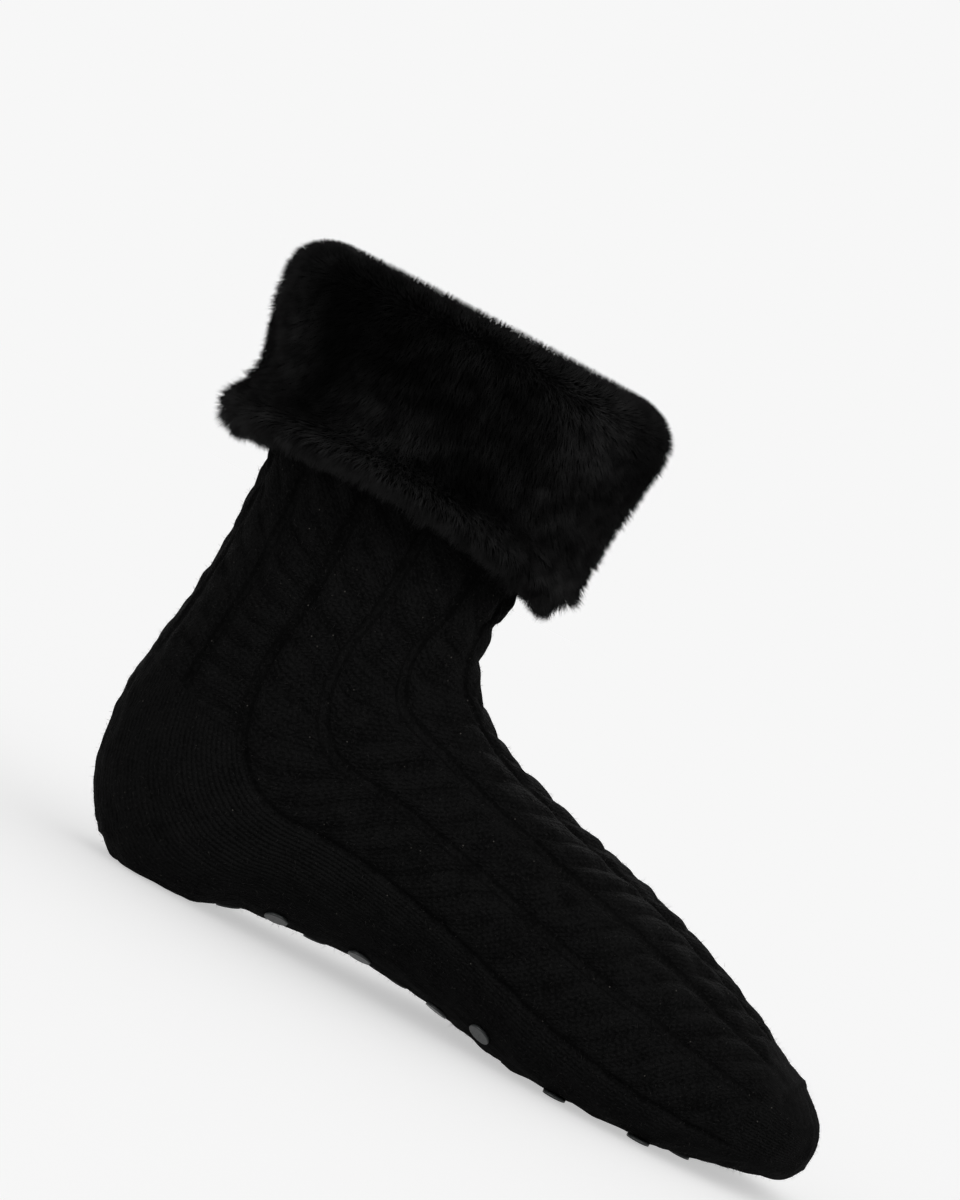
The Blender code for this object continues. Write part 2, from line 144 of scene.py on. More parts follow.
class Finish:
    """A material in the making: the usual shader, and short ways to add what feeds it.

    Its patterns lie in Object coordinates, which are metres, so each names the size of its own
    features in mm and is scaled by how many of those a metre holds.
    """

    def __init__(self, name: str) -> None:
        """Starts the material.

        Args:
            name: of the material.
        """
        self.material = bpy.data.materials.new(name)
        self.material.use_nodes = True
        self.tree = self.material.node_tree
        self.shader = self.tree.nodes["Principled BSDF"]
        self.place = add_node(self.tree, "TexCoord").outputs["Object"]

    def add(self, kind: str, inputs: dict, **properties: object) -> Node:
        """Adds a node as add_node does."""
        return add_node(self.tree, kind, inputs, **properties)

    def noise(self, size_mm: float, detail: float, roughness: float = 0.5) -> Node:
        """Soft random patches: their size, how many finer layers they have, and how strong those are."""
        return self.add("TexNoise", {0: self.place, 2: MM_PER_M / size_mm, 3: detail, 4: roughness})

    def maths(self, operation: str, *terms: object) -> Node:
        """One step of arithmetic on numbers, nodes or sockets."""
        return self.add("Math", dict(enumerate(terms)), operation=operation)

    def ranged(self, source: Node, spread: tuple, onto: tuple = (0.0, 1.0)) -> Node:
        """Maps one range of values onto another and clamps them to that."""
        return self.add("MapRange", {0: source, 1: spread[0], 2: spread[1], 3: onto[0], 4: onto[1]})

    def mark(self, name: str) -> NodeSocket:
        """A value that the piece's own vertices carry."""
        return self.add("Attribute", {}, attribute_name=name).outputs["Fac"]

    def blend(self, share: Node, low: object, high: object) -> NodeSocket:
        """A colour between two, each given as a hex colour or as what feeds it."""
        ends = [linear(end) if isinstance(end, str) else end for end in (low, high)]
        return self.add("Mix", {0: share, 6: ends[0], 7: ends[1]}, data_type="RGBA").outputs[2]

    def bump(self, strength: float, depth_mm: float, height: Node) -> Node:
        """Relief that only the light sees."""
        return self.add("Bump", {0: strength, 1: depth_mm / MM_PER_M, "Height": height})

    def done(self, inputs: dict) -> Material:
        """Feeds the shader and gives the material."""
        feed(self.shader, inputs)
        return self.material


def deselect_all() -> None:
    """Leaves object mode with nothing selected."""
    if bpy.context.object and bpy.context.object.mode != "OBJECT":
        bpy.ops.object.mode_set(mode="OBJECT")
    bpy.ops.object.select_all(action="DESELECT")


def select_only(obj: Object) -> None:
    """Leaves object mode with one object selected and active.

    Args:
        obj: the object.
    """
    deselect_all()
    obj.select_set(True)
    bpy.context.view_layer.objects.active = obj


def placed(obj: Object) -> None:
    """Writes an object's place into its mesh."""
    select_only(obj)
    bpy.ops.object.transform_apply(location=True, rotation=True, scale=True)


def read_values(items: bpy.types.bpy_prop_collection, name: str, width: int, kind: type = float) -> Array:
    """Reads one property of all vertices, faces or loops.

    Args:
        items: the vertices, faces or loops.
        name: of the property.
        width: how many numbers it has.
        kind: what they are.

    Returns:
        A row of numbers for each item.
    """
    values = np.empty(len(items) * width, kind)
    items.foreach_get(name, values)
    return values.reshape(-1, width)


def write_mark(mesh: Mesh, name: str, values: Array) -> None:
    """Gives each vertex a value that the finish reads."""
    mesh.attributes.new(name, "FLOAT", "POINT").data.foreach_set("value", values.astype(np.float32))


def sheet_of_quads(name: str, columns: int, rows: int) -> tuple[Object, Array, Array]:
    """A primitive grid to be wrapped round a form.

    Args:
        name: of the object.
        columns: faces from side to side.
        rows: faces from end to end.

    Returns:
        The object, and the column and the row of each of its vertices.
    """
    deselect_all()
    bpy.ops.mesh.primitive_grid_add(x_subdivisions=columns, y_subdivisions=rows, size=1)
    obj = bpy.context.object
    obj.name = obj.data.name = name
    across, along = read_values(obj.data.vertices, "co", 3)[:, :2].T + 0.5
    return obj, np.rint(across * columns).astype(int), np.rint(along * rows).astype(int)


def close_seams(obj: Object) -> None:
    """Merges the meeting edges and poles of a wrapped grid, and turns it outwards.

    Args:
        obj: the grid's object.
    """
    select_only(obj)
    bpy.ops.object.mode_set(mode="EDIT")
    bpy.ops.mesh.select_all(action="SELECT")
    bpy.ops.mesh.remove_doubles(threshold=MERGE_DISTANCE)
    bpy.ops.object.mode_set(mode="OBJECT")
    mesh = obj.data
    mesh.calc_loop_triangles()
    corners = read_values(mesh.loop_triangles, "vertices", 3, int)
    a, b, c = read_values(mesh.vertices, "co", 3)[corners].transpose(1, 0, 2)
    if np.einsum("ij,ij->i", a, np.cross(b, c)).sum() < 0:
        mesh.flip_normals()
    bpy.ops.object.shade_smooth()


def set_points(mesh: Mesh, points: Array) -> None:
    """Moves a mesh's vertices to new places."""
    mesh.vertices.foreach_set("co", np.ascontiguousarray(points, np.float32).ravel())
    mesh.update()


class Slot(Enum):
    """The record's material slots."""

    KNIT = "black_wool_knit"
    PLUSH = "black_plush"
    RUBBER = "dark_grey_rubber"


@dataclass(frozen=True)
class Section:
    """Where one section of the form meets the sole and the instep, and how round it is.

    widest is the share of the way up at which it is widest, crown and base are the powers of its
    rounding above and below that, and floor is the height that presses it flat.
    """

    under_x: float
    under_z: float
    over_x: float
    over_z: float
    half_width: float
    widest: float
    crown: float
    base: float
    floor: float


@dataclass(frozen=True)
class Last:
    """The form that the sock is knitted to, with the same sizes and sections as the CAD."""

    foot_length: float = 0.250
    ball_width: float = 0.096
    instep_height: float = 0.082
    toe_spring: float = 0.012
    arch_height: float = 0.0055
    heel_width: float = 0.071
    press_depth: float = 0.0030
    ankle_rise: float = 0.037
    leg_rise: float = 0.0672
    leg_depth: float = 0.084
    leg_width: float = 0.073
    leg_centre: float = 0.049
    sole_plane: float = 0.0012
    origin: float = 0.117226
    survey_rings: int = 900
    survey_sides: int = 24
    hidden_coarseness: float = 0.3

    # under, spring, arch, press, over, height, width, widest, crown, base
    foot_rows: tuple = (
        (0.996, 0.86, 0.00, 0.0, 0.997, 0.274, 0.190, 0.50, 2.0, 2.0),
        (0.984, 0.57, 0.00, 0.0, 0.986, 0.335, 0.370, 0.47, 2.0, 2.1),
        (0.960, 0.37, 0.00, 0.0, 0.964, 0.396, 0.550, 0.44, 2.0, 2.2),
        (0.920, 0.22, 0.00, 0.1, 0.924, 0.473, 0.725, 0.41, 2.0, 2.4),
        (0.860, 0.08, 0.00, 0.4, 0.865, 0.561, 0.870, 0.38, 2.0, 2.6),
        (0.792, 0.00, 0.00, 0.9, 0.798, 0.652, 0.960, 0.36, 2.0, 2.8),
        (0.720, 0.00, 0.00, 1.0, 0.728, 0.738, 1.000, 0.36, 2.0, 2.9),
        (0.640, 0.00, 0.00, 0.9, 0.652, 0.811, 0.975, 0.37, 2.0, 2.8),
        (0.560, 0.00, 0.28, 0.2, 0.572, 0.878, 0.905, 0.39, 2.0, 2.5),
        (0.480, 0.00, 0.78, 0.0, 0.504, 0.939, 0.835, 0.42, 2.0, 2.3),
        (0.400, 0.00, 1.00, 0.0, 0.448, 1.000, 0.785, 0.44, 2.0, 2.2),
    )
    # under, arch, press, rise, over, bend, width, widest, crown, base
    heel_rows: tuple = (
        (0.320, 1.00, 0.0, 0.000, 0.410, 0.16, 1.020, 0.46, 2.0, 2.2),
        (0.240, 0.65, 0.0, 0.000, 0.388, 0.30, 1.000, 0.47, 2.0, 2.3),
        (0.176, 0.00, 0.7, 0.000, 0.376, 0.41, 0.990, 0.48, 2.0, 2.4),
        (0.112, 0.00, 1.0, 0.000, 0.369, 0.50, 0.985, 0.48, 2.0, 2.4),
        (0.052, 0.00, 0.0, 0.045, 0.365, 0.59, 0.985, 0.48, 2.0, 2.2),
        (0.018, 0.00, 0.0, 0.150, 0.363, 0.68, 0.985, 0.48, 2.0, 2.1),
        (0.003, 0.00, 0.0, 0.275, 0.362, 0.77, 0.990, 0.48, 2.0, 2.0),
        (0.000, 0.00, 0.0, 0.410, 0.361, 0.85, 0.995, 0.49, 2.0, 2.0),
        (0.010, 0.00, 0.0, 0.545, 0.362, 0.91, 1.000, 0.50, 2.0, 2.0),
        (0.021, 0.00, 0.0, 0.690, 0.363, 0.95, 1.010, 0.50, 2.0, 2.0),
        (0.028, 0.00, 0.0, 0.850, 0.363, 0.98, 1.020, 0.50, 2.0, 2.0),
    )
    # rise, depth, width
    leg_rows: tuple = ((0.00, 1.000, 1.000), (0.30, 1.040, 1.035), (0.65, 1.090, 1.090), (1.00, 1.125, 1.125))

    @property
    def ankle_height(self) -> float:
        """Height of the lowest level section of the leg."""
        return self.instep_height + self.ankle_rise

    @property
    def collar_height(self) -> float:
        """Height of the knit's top edge."""
        return self.ankle_height + self.leg_rise

    def section(
        self, under: float, low: float, over: float, high: float, width: float, *form: float
    ) -> Section:
        """A section of foot or heel from shares of the foot's length, heights, its width and its form."""
        size = self.foot_length
        return Section(under * size - self.origin, low, over * size - self.origin, high, width / 2, *form)

    def sections(self) -> list[Section]:
        """The sections of foot, heel and leg, from the toe to the collar.

        Returns:
            The sections in order.
        """
        made = []
        for under, spring, arch, press, over, height, width, *form in self.foot_rows:
            lift = spring * self.toe_spring + arch * self.arch_height - press * self.press_depth
            low, high = self.sole_plane + lift, height * self.instep_height
            made.append(self.section(under, low, over, high, width * self.ball_width, *form, self.sole_plane))
        for under, arch, press, rise, over, bend, width, *form in self.heel_rows:
            lift = arch * self.arch_height - press * self.press_depth
            low, high = lift + rise * self.ankle_height, self.instep_height + bend * self.ankle_rise
            made.append(self.section(under, low, over, high, width * self.heel_width, *form, 0.0))
        middle = self.leg_centre - self.origin
        for rise, depth, width in self.leg_rows:
            half, height = depth * self.leg_depth / 2, self.ankle_height + rise * self.leg_rise
            ends = (middle - half, height, middle + half, height)
            made.append(Section(*ends, width * self.leg_width / 2, 0.5, 2, 2, 0))
        return made

    def rings(self, places: Array, sides: int) -> Array:
        """Rings of points round the form.

        Args:
            places: where the rings lie, counted in sections from the toe.
            sides: points in each ring, evenly spaced from the instep down the -Y side.

        Returns:
            Points with the shape rings, sides, 3.
        """
        table = np.array([list(vars(s).values()) for s in self.sections()], float)
        rise = np.diff(table, axis=0)
        product = rise[:-1] * rise[1:]
        together = np.where(product > 0, rise[:-1] + rise[1:], 1.0)
        slope = np.vstack([rise[0], np.where(product > 0, 2 * product / together, 0.0), rise[-1]])
        made = []
        for place in places:
            k = min(int(place), len(table) - 2)
            f = place - k
            row = table[k] + f * f * (3 - 2 * f) * rise[k]
            row += f * (1 - f) * ((1 - f) * slope[k] - f * slope[k + 1])
            made.append(self.ring(Section(*row), sides))
        return np.array(made)

    def ring(self, section: Section, sides: int) -> Array:
        """Points round one section, pressed flat by the floor.

        Args:
            section: the section.
            sides: how many points.

        Returns:
            Evenly spaced points.
        """
        under = np.array([section.under_x, 0, section.under_z])
        over = np.array([section.over_x, 0, section.over_z])
        middle = under + section.widest * (over - under)
        angle = np.linspace(0, FULL_TURN, 8 * sides + 1)
        up, side = np.cos(angle), -np.sin(angle)
        power = 2 / np.where(up > 0, section.crown, section.base)
        share = np.abs(up)[:, None] ** power[:, None]
        points = middle + np.where((up > 0)[:, None], share * (over - middle), share * (under - middle))
        points[:, 1] = np.sign(side) * np.abs(side) ** power * section.half_width
        points[:, 2] = np.maximum(points[:, 2], section.floor)
        length = np.concatenate([[0], np.cumsum(np.linalg.norm(np.diff(points, axis=0), axis=1))])
        where = np.linspace(0, length[-1], sides, endpoint=False)
        return np.stack([np.interp(where, length, points[:, k]) for k in range(3)], axis=1)

    def even_places(self, count: int, coarse_above: float) -> Array:
        """Ring places at near-equal steps over the knit.

        Args:
            count: how many.
            coarse_above: the height above which the cuff hides the knit and steps are longer.

        Returns:
            The places, counted in sections from the toe.
        """
        fine = np.linspace(0, len(self.sections()) - 1, self.survey_rings)
        grid = self.rings(fine, self.survey_sides)
        step = np.linalg.norm(np.diff(grid, axis=0), axis=2).max(axis=1)
        hidden = grid[1:, :, 2].min(axis=1) > coarse_above
        reach = np.concatenate([[0], np.cumsum(np.where(hidden, self.hidden_coarseness * step, step))])
        return np.interp(np.linspace(0, reach[-1], count), reach, fine)

    def leg_outline(self, heights: Array, turns: Array) -> tuple[Array, Array]:
        """The leg's outside.

        Args:
            heights: of the points.
            turns: of the points.

        Returns:
            The points and their level outward directions.
        """
        rows = np.array(self.leg_rows)
        share = (heights - self.ankle_height) / self.leg_rise
        half_depth = np.interp(share, rows[:, 0], rows[:, 1]) * self.leg_depth / 2
        half_width = np.interp(share, rows[:, 0], rows[:, 2]) * self.leg_width / 2
        forward, aside = np.cos(FULL_TURN * turns), -np.sin(FULL_TURN * turns)
        points = np.stack([half_depth * forward, half_width * aside, heights], axis=-1)
        points[..., 0] += self.leg_centre - self.origin
        return points, unit(np.stack([half_width * forward, half_depth * aside, 0 * heights], axis=-1))


def grid_normals(grid: Array) -> Array:
    """Outward directions at the points of a grid of rings.

    Args:
        grid: the points.

    Returns:
        The directions.
    """
    along = np.gradient(grid, axis=0)
    around = np.roll(grid, -1, axis=1) - np.roll(grid, 1, axis=1)
    return unit(np.cross(along, around))


def cone_model() -> tuple[Array, Array]:
    """One hair: a three-sided cone, modelled once.

    Returns:
        Its vertices, one long and one wide at the root, and its faces as triangles.
    """
    deselect_all()
    bpy.ops.mesh.primitive_cone_add(vertices=3, radius1=0.5, radius2=0, depth=1, location=(0, 0, 0.5))
    cone = bpy.context.object
    placed(cone)
    cone.data.calc_loop_triangles()
    verts = np.array([v.co[:] for v in cone.data.vertices])
    faces = np.array([t.vertices[:] for t in cone.data.loop_triangles])
    mesh = cone.data
    bpy.data.objects.remove(cone, do_unlink=True)
    bpy.data.meshes.remove(mesh)
    return verts, faces


def join_copies(
    name: str, verts: Array, faces: Array, roots: Array, tips: Array, widths: Array, marks: dict[str, Array]
) -> Object:
    """Copies one hair from each root to each tip, in one mesh.

    Args:
        name: of the joined mesh.
        verts: the hair's vertices.
        faces: the hair's triangles.
        roots: where the hairs start.
        tips: where they end.
        widths: how wide they are at the root.
        marks: further values of every vertex, by the name of their attribute.

    Returns:
        The object.
    """
    way = tips - roots
    axis = unit(way)
    upright = np.abs(axis[:, 2:3]) > 0.9
    side = unit(np.cross(axis, np.where(upright, [[1.0, 0, 0]], [[0, 0, 1.0]])))
    third = np.cross(axis, side)
    points = roots[:, None, :] + verts[None, :, 2:3] * way[:, None, :]
    for k, across in enumerate((side, third)):
        points += verts[None, :, k : k + 1] * (across * widths[:, None])[:, None, :]
    triangles = faces[None, :, :] + (np.arange(len(roots)) * len(verts))[:, None, None]
    mesh = bpy.data.meshes.new(name)
    mesh.vertices.add(points.shape[0] * points.shape[1])
    mesh.vertices.foreach_set("co", points.astype(np.float32).ravel())
    mesh.loops.add(triangles.size)
    mesh.loops.foreach_set("vertex_index", triangles.astype(np.int32).ravel())
    mesh.polygons.add(triangles.size // 3)
    mesh.polygons.foreach_set("loop_start", np.arange(0, triangles.size, 3, dtype=np.int32))
    mesh.update(calc_edges=True)
    for mark, values in marks.items():
        write_mark(mesh, mark, values)
    mesh.validate()
    obj = bpy.data.objects.new(name, mesh)
    bpy.context.scene.collection.objects.link(obj)
    mesh.shade_smooth()
    return obj


@dataclass(frozen=True)
class WoolKnit:
    """Black wool-blend yarn, cable knitted.

    Carded yarn has no gloss: each stitch is a soft V of two legs under a haze of loose fibres,
    and paler lint sits in it here and there. Cells of 2.6 mm hold a speck each, and most are bare.
    """

    name: str = "black wool-blend cable knit"
    yarn: str = "#0b0b0b"
    shadow: str = "#030303"
    lint: str = "#3a3835"
    sheen: str = "#8a8a8a"
    fibre_mm: float = 1.0
    cloud_mm: float = 8.0
    lint_mm: float = 2.6
    stitch_depth_mm: float = 0.80
    fibre_roughness: float = 0.72
    fibre_range: tuple = (0.36, 0.64)
    fibre_light: tuple = (-0.06, 1.02)
    cloud_strength: float = 1.3
    stitch_strength: float = 0.5
    valley_shade: float = -0.26
    tone_range: tuple = (0.72, 1.72)
    speck_edge: tuple = (0.045, 0.10)
    bare_cells: float = 0.84
    relief_of_fibre: float = 2.2
    # How far a stitch's leg swings and stands: in the cables, and in plain jersey
    leg_swing: tuple = (0.40, 0.30)
    leg_height: tuple = (0.60, 1.20)
    leg_slant: float = 1.3
    bar_swing: float = 0.20
    bar_height: float = 0.26

    def build(self) -> Material:
        """The material, which reads the map and the marks that the knit carries.

        Returns:
            The material.
        """
        made = Finish(self.name)
        stitch = self.stitches(made)
        fuzz = made.noise(self.fibre_mm, 4.0, self.fibre_roughness)
        grain = made.ranged(fuzz, self.fibre_range, self.fibre_light)
        worn = made.maths("MULTIPLY_ADD", made.noise(self.cloud_mm, 2.0), self.cloud_strength, grain)
        # Painted shade: the yarn's colour is darker where the stitches' relief is low, between their legs and
        # bars
        lit = made.maths("MULTIPLY_ADD", stitch, self.stitch_strength, worn)
        # Painted shade: the yarn's colour is darkened along the purl channels and in the gaps between a
        # rope's strands
        sunk = made.maths("MULTIPLY", made.mark("painted_groove_shade"), self.valley_shade)
        tone = made.ranged(made.maths("ADD", lit, sunk), self.tone_range)
        cells = made.add("TexVoronoi", {0: made.place, 2: MM_PER_M / self.lint_mm, 8: 1.0}, feature="F1")
        speck = made.ranged(cells.outputs["Distance"], self.speck_edge, (1.0, 0.0))
        chance = made.add("SeparateColor", {0: cells.outputs["Color"]})
        lint = made.maths("MULTIPLY", speck, made.maths("GREATER_THAN", chance, self.bare_cells))
        relief = made.maths("MULTIPLY_ADD", fuzz, self.relief_of_fibre, stitch)
        return made.done(
            {
                "Base Color": made.blend(lint, made.blend(tone, self.shadow, self.yarn), self.lint),
                "Normal": made.bump(0.9, self.stitch_depth_mm, relief),
                "Roughness": 0.92,
                "Specular IOR Level": 0.025,
                "Sheen Weight": 0.003,
                "Sheen Roughness": 0.5,
                "Sheen Tint": linear(self.sheen),
            }
        )

    def stitches(self, made: Finish) -> NodeSocket:
        """Height of the stitches: columns of Vs, and bars where the knit carries its purl mark.

        Args:
            made: the material.

        Returns:
            The socket with heights from 0 to 1.
        """
        place = made.add("UVMap", {}, uv_map="stitches")
        wale, course = made.add("SeparateXYZ", {0: place}).outputs[:2]
        aside = made.maths("ABSOLUTE", made.maths("SUBTRACT", made.maths("FRACT", wale), 0.5))
        ridge = made.maths("SINE", made.maths("MULTIPLY", aside, FULL_TURN))
        slant = made.maths("MULTIPLY_ADD", aside, self.leg_slant, course)
        wave = made.maths("COSINE", made.maths("MULTIPLY", slant, FULL_TURN))
        jersey = made.mark("jersey")
        swing, height = (made.ranged(jersey, (0.0, 1.0), onto) for onto in (self.leg_swing, self.leg_height))
        plain = made.maths("MULTIPLY", ridge, made.maths("MULTIPLY_ADD", wave, swing, height))
        bars = made.maths("SINE", made.maths("MULTIPLY", course, FULL_TURN))
        purl = made.maths("MULTIPLY_ADD", bars, self.bar_swing, self.bar_height)
        return made.add("Mix", {0: made.mark("purl"), 2: plain, 3: purl}, data_type="FLOAT").outputs[0]


@dataclass
class KnitSock:
    """Foot, heel and leg, knitted whole: rope cables between purl channels, plain jersey below."""

    last: Last
    sides: int = 264
    outer_rings: int = 332
    inner_rings: int = 34
    wall: float = 0.0030
    columns: int = 12
    wales: int = 96
    rope_share: float = 0.43
    rope_height: float = 0.0021
    rope_sink: float = 0.0008
    rope_roundness: float = 0.42
    strand_roundness: float = 0.65
    strand_gap: float = 0.70
    flat_back: float = 0.5
    # Turns to either side: where the cables give way to the sole, and where they flatten at the back
    sole_edge: tuple = (0.2885, 0.2945)
    back: tuple = (0.36, 0.46)
    channel_depth: float = 0.0013
    deep_channel: float = 3.5
    other_channels: float = 0.42
    gap_shade: float = 1.1
    crossing_pitch: float = 0.0120
    strand_sweep: float = -0.85
    strand_curl: float = 0.35
    strand_wales: int = 3
    # In a rope the stitches lean: courses follow this share of the length, and rise so far across
    stitch_lean: tuple = (0.77, 0.0054)
    course_height: float = 0.0019
    hem_height: float = 0.138
    cuff_press: float = 0.0004
    hem_blend: tuple = (-0.004, 0.012)
    toe_cap: float = 0.027
    toe_blend: tuple = (-0.003, 0.004)
    # The heel pocket's corners, as distance from the heel and height
    heel_apex: tuple = (0.062, 0.046)
    heel_foot: tuple = (0.014, 0.006)
    heel_top: float = 0.062
    pocket_blend: float = 0.0015
    easing: int = 240
    easing_step: float = 0.45
    unevenness: float = 0.00028
    wave_lengths: tuple = (0.004, 0.013)
    seed: int = 3
    # Soft creases where the ankle bends: height, turn from the front, depth and half-height
    creases: tuple = (
        (0.113, 0.020, -0.0007, 0.0035),
        (0.104, 0.985, -0.0006, 0.0040),
        (0.096, 0.045, -0.0006, 0.0035),
        (0.089, 0.960, -0.0005, 0.0040),
        (0.109, 0.080, 0.0005, 0.0045),
        (0.100, 0.930, 0.0005, 0.0045),
    )
    crease_turn: float = 0.07
    # Height and half-width of the gore line, the pocket's upper edge and the seam over the toes
    gore: tuple = (0.0006, 0.0011)
    rim: tuple = (0.0003, 0.0012)
    linking: tuple = (0.0007, 0.0011)
    fields: dict = field(default_factory=dict)

    def build(self) -> Object:
        """Builds the sock, closed at the toe and round the wall.

        Returns:
            The object.
        """
        places = self.last.even_places(self.outer_rings, self.hem_height + 0.004)
        plain = self.eased(self.last.rings(places, 4 * self.sides))
        normals = grid_normals(plain)
        self.survey(plain)
        outside = plain + normals * self.relief(plain)[:, :, None]
        outside[-1, :, 2] = self.last.collar_height
        outside[..., 2] = np.maximum(outside[..., 2], 0.0)
        chosen = np.linspace(self.outer_rings - 1, 2, self.inner_rings).astype(int)
        inside = (plain - normals * self.wall)[chosen]
        inside[0, :, 2] = self.last.collar_height
        tip = np.array([self.last.foot_length - self.last.origin, 0, outside[0, :, 2].mean()])
        outer_pole = np.broadcast_to(tip, (1, self.sides, 3))
        inner_pole = outer_pole - [[[self.wall, 0, 0]]]
        grid = np.concatenate([outer_pole, outside, inside, inner_pole])
        obj, column, row = sheet_of_quads("knitted_foot_and_leg", self.sides, len(grid) - 1)
        set_points(obj.data, grid[row, column % self.sides])
        self.map_stitches(obj.data, column, row, chosen)
        close_seams(obj)
        return obj

    def eased(self, fine: Array) -> Array:
        """Slides the points round their rings until the lines of stitches bend softly at the ankle.

        Args:
            fine: rings with four times the points that the knit has.

        Returns:
            The knit's grid of points, still on the same rings.
        """
        rings, many = fine.shape[:2]
        girth = np.linalg.norm(np.roll(fine, -1, axis=1) - fine, axis=2).sum(axis=1)[:, None]
        turn = np.tile(np.arange(self.sides) / self.sides, (rings, 1))
        index = np.arange(rings)[:, None]

        def points(where: Array) -> Array:
            """Finds points of the same rings.

            Args:
                where: their turns.

            Returns:
                The points.
            """
            place = where * many
            low = np.floor(place).astype(int)
            f = (place - low)[:, :, None]
            return fine[index, low % many] * (1 - f) + fine[index, (low + 1) % many] * f

        for _ in range(self.easing):
            grid = points(turn)
            around = unit(np.roll(grid, -1, axis=1) - np.roll(grid, 1, axis=1))
            bend = (grid[:-2] + grid[2:]) / 2 - grid[1:-1]
            slide = np.einsum("ijk,ijk->ij", bend, around[1:-1])
            turn[1:-1] += self.easing_step * slide / girth[1:-1]
        return points(turn)

    def survey(self, grid: Array) -> None:
        """Measures the fields that relief and stitches follow: turn, column, length along it, masks.

        Args:
            grid: the knit's points, without relief.
        """
        turn = np.arange(self.sides) / self.sides
        steps = np.linalg.norm(np.diff(grid, axis=0), axis=2)
        length = np.vstack([np.zeros(self.sides), np.cumsum(steps, axis=0)])
        centre = (np.arange(self.columns + 1) * self.sides // self.columns) % self.sides
        along = length[:, centre]
        # The five columns of the sole share one length, so that its courses run straight across
        bottom = self.columns // 2
        along[:, bottom - 2 : bottom + 3] = length[:, [self.sides // 2]]
        aside = np.minimum(turn, 1 - turn)
        from_heel = grid[..., 0] + self.last.origin
        below = smooth_step(aside, *self.sole_edge)[None, :] * np.ones(grid.shape[:2])
        edge = np.where(from_heel > self.heel_apex[0], 1.0, self.pocket_edge(from_heel))
        raised = smooth_step(grid[..., 2] - edge, -self.pocket_blend, self.pocket_blend)
        toe = smooth_step(self.last.foot_length - from_heel - self.toe_cap, *self.toe_blend)
        column = np.rint(turn * self.columns).astype(int)
        # The channel that edges the plain sole runs deepest, up the leg too
        deepest = np.abs(aside * self.columns - self.deep_channel) < 0.45
        self.fields = {
            "turn": turn,
            "column": column,
            "off": turn * self.columns - column,
            "along": along,
            "from_heel": from_heel,
            "cabled": (1 - below * (1 - raised)) * toe,
            "aside": aside,
            "sunk": np.where(deepest, 1.0, self.other_channels),
        }

    def pocket_edge(self, from_heel: Array) -> Array:
        """Height of the heel pocket's upper edge."""
        return self.heel_top - (self.heel_top - self.heel_apex[1]) / self.heel_apex[0] * from_heel

    def strand(self, x: Array) -> Array:
        """How far a strand has run up the rope at a place across it, in crossings."""
        return self.strand_sweep * ((x + self.strand_curl * x**3) / (1 + self.strand_curl))

    def relief(self, grid: Array) -> Array:
        """How far the outside stands off the form: ropes, channels, seams, creases.

        Args:
            grid: the knit's points, without relief.

        Returns:
            A height for each point.
        """
        f = self.fields
        side = np.where(f["turn"] < 0.5, 1.0, -1.0)
        x = np.clip(f["off"] * side / self.rope_share, -1, 1)
        phase = f["along"][:, f["column"]] / self.crossing_pitch + self.strand(x)
        phase += 0.5 * (f["column"] % 2) + self.drift(grid)
        lobe = np.abs(np.sin(math.pi * phase)) ** self.strand_roundness
        swell = 1 - self.strand_gap + self.strand_gap * lobe
        rope = (1 - x**2) ** self.rope_roundness * swell * self.rope_height - self.rope_sink
        rope *= 1 - self.flat_back * smooth_step(f["aside"], *self.back)
        groove = smooth_step(np.abs(f["off"]), self.rope_share - 0.05, 0.505)
        f["gap"] = (1 - lobe) ** 1.3 * (1 - groove)
        cable = rope * (1 - groove * f["sunk"]) - self.channel_depth * groove * f["sunk"]
        under_cuff = smooth_step(grid[..., 2] - self.hem_height, *self.hem_blend)
        made = cable * f["cabled"] * (1 - 0.8 * under_cuff) - self.cuff_press * under_cuff
        return made + self.seams(grid) + self.folds(grid) + self.wander(grid) * (1 - under_cuff)

    def drift(self, grid: Array) -> Array:
        """How far the crossings run ahead or behind: no two strands are drawn alike.

        Args:
            grid: the knit's points, without relief.

        Returns:
            A share of a crossing for each point.
        """
        x, y, z = grid[..., 0], grid[..., 1], grid[..., 2]
        slow = np.sin(95 * x + 40 * y) + np.sin(120 * z - 70 * x + 1.3) + np.sin(210 * y + 160 * z + 0.4)
        return 0.07 * slow

    def wander(self, grid: Array, waves: int = 14) -> Array:
        """The slight unevenness of hand-soft knit, as a sum of slow waves of a few millimetres.

        Args:
            grid: the knit's points, without relief.
            waves: how many.

        Returns:
            A height for each point.
        """
        rng = np.random.default_rng(self.seed)
        total = np.zeros(grid.shape[:2])
        for _ in range(waves):
            way = unit(rng.normal(size=3))
            length = rng.uniform(*self.wave_lengths)
            total += np.sin(FULL_TURN * (grid @ way) / length + rng.uniform(0, FULL_TURN))
        return total / math.sqrt(waves) * self.unevenness

    def seams(self, grid: Array) -> Array:
        """The gore line of the heel pocket, its upper edge and the linked seam over the toes.

        Args:
            grid: the knit's points, without relief.

        Returns:
            A height for each point.
        """
        aside, x, z = self.fields["aside"], self.fields["from_heel"], grid[..., 2]
        (apex_x, apex_z), (foot_x, foot_z) = self.heel_apex, self.heel_foot
        lower = foot_z + (apex_z - foot_z) * (x - foot_x) / (apex_x - foot_x)
        toe = self.last.foot_length - x
        total = np.zeros(z.shape)
        for (height, spread), off, there in (
            (self.gore, z - lower, (x > 0.010) * (x < apex_x) * (aside > 0.20)),
            (self.rim, z - self.pocket_edge(x), (x < apex_x) * (aside > 0.25)),
            (self.linking, toe - 0.0125 - 0.25 * np.abs(grid[..., 1]), aside < 0.24),
        ):
            total += height * np.exp(-((off / spread) ** 2)) * there
        return total

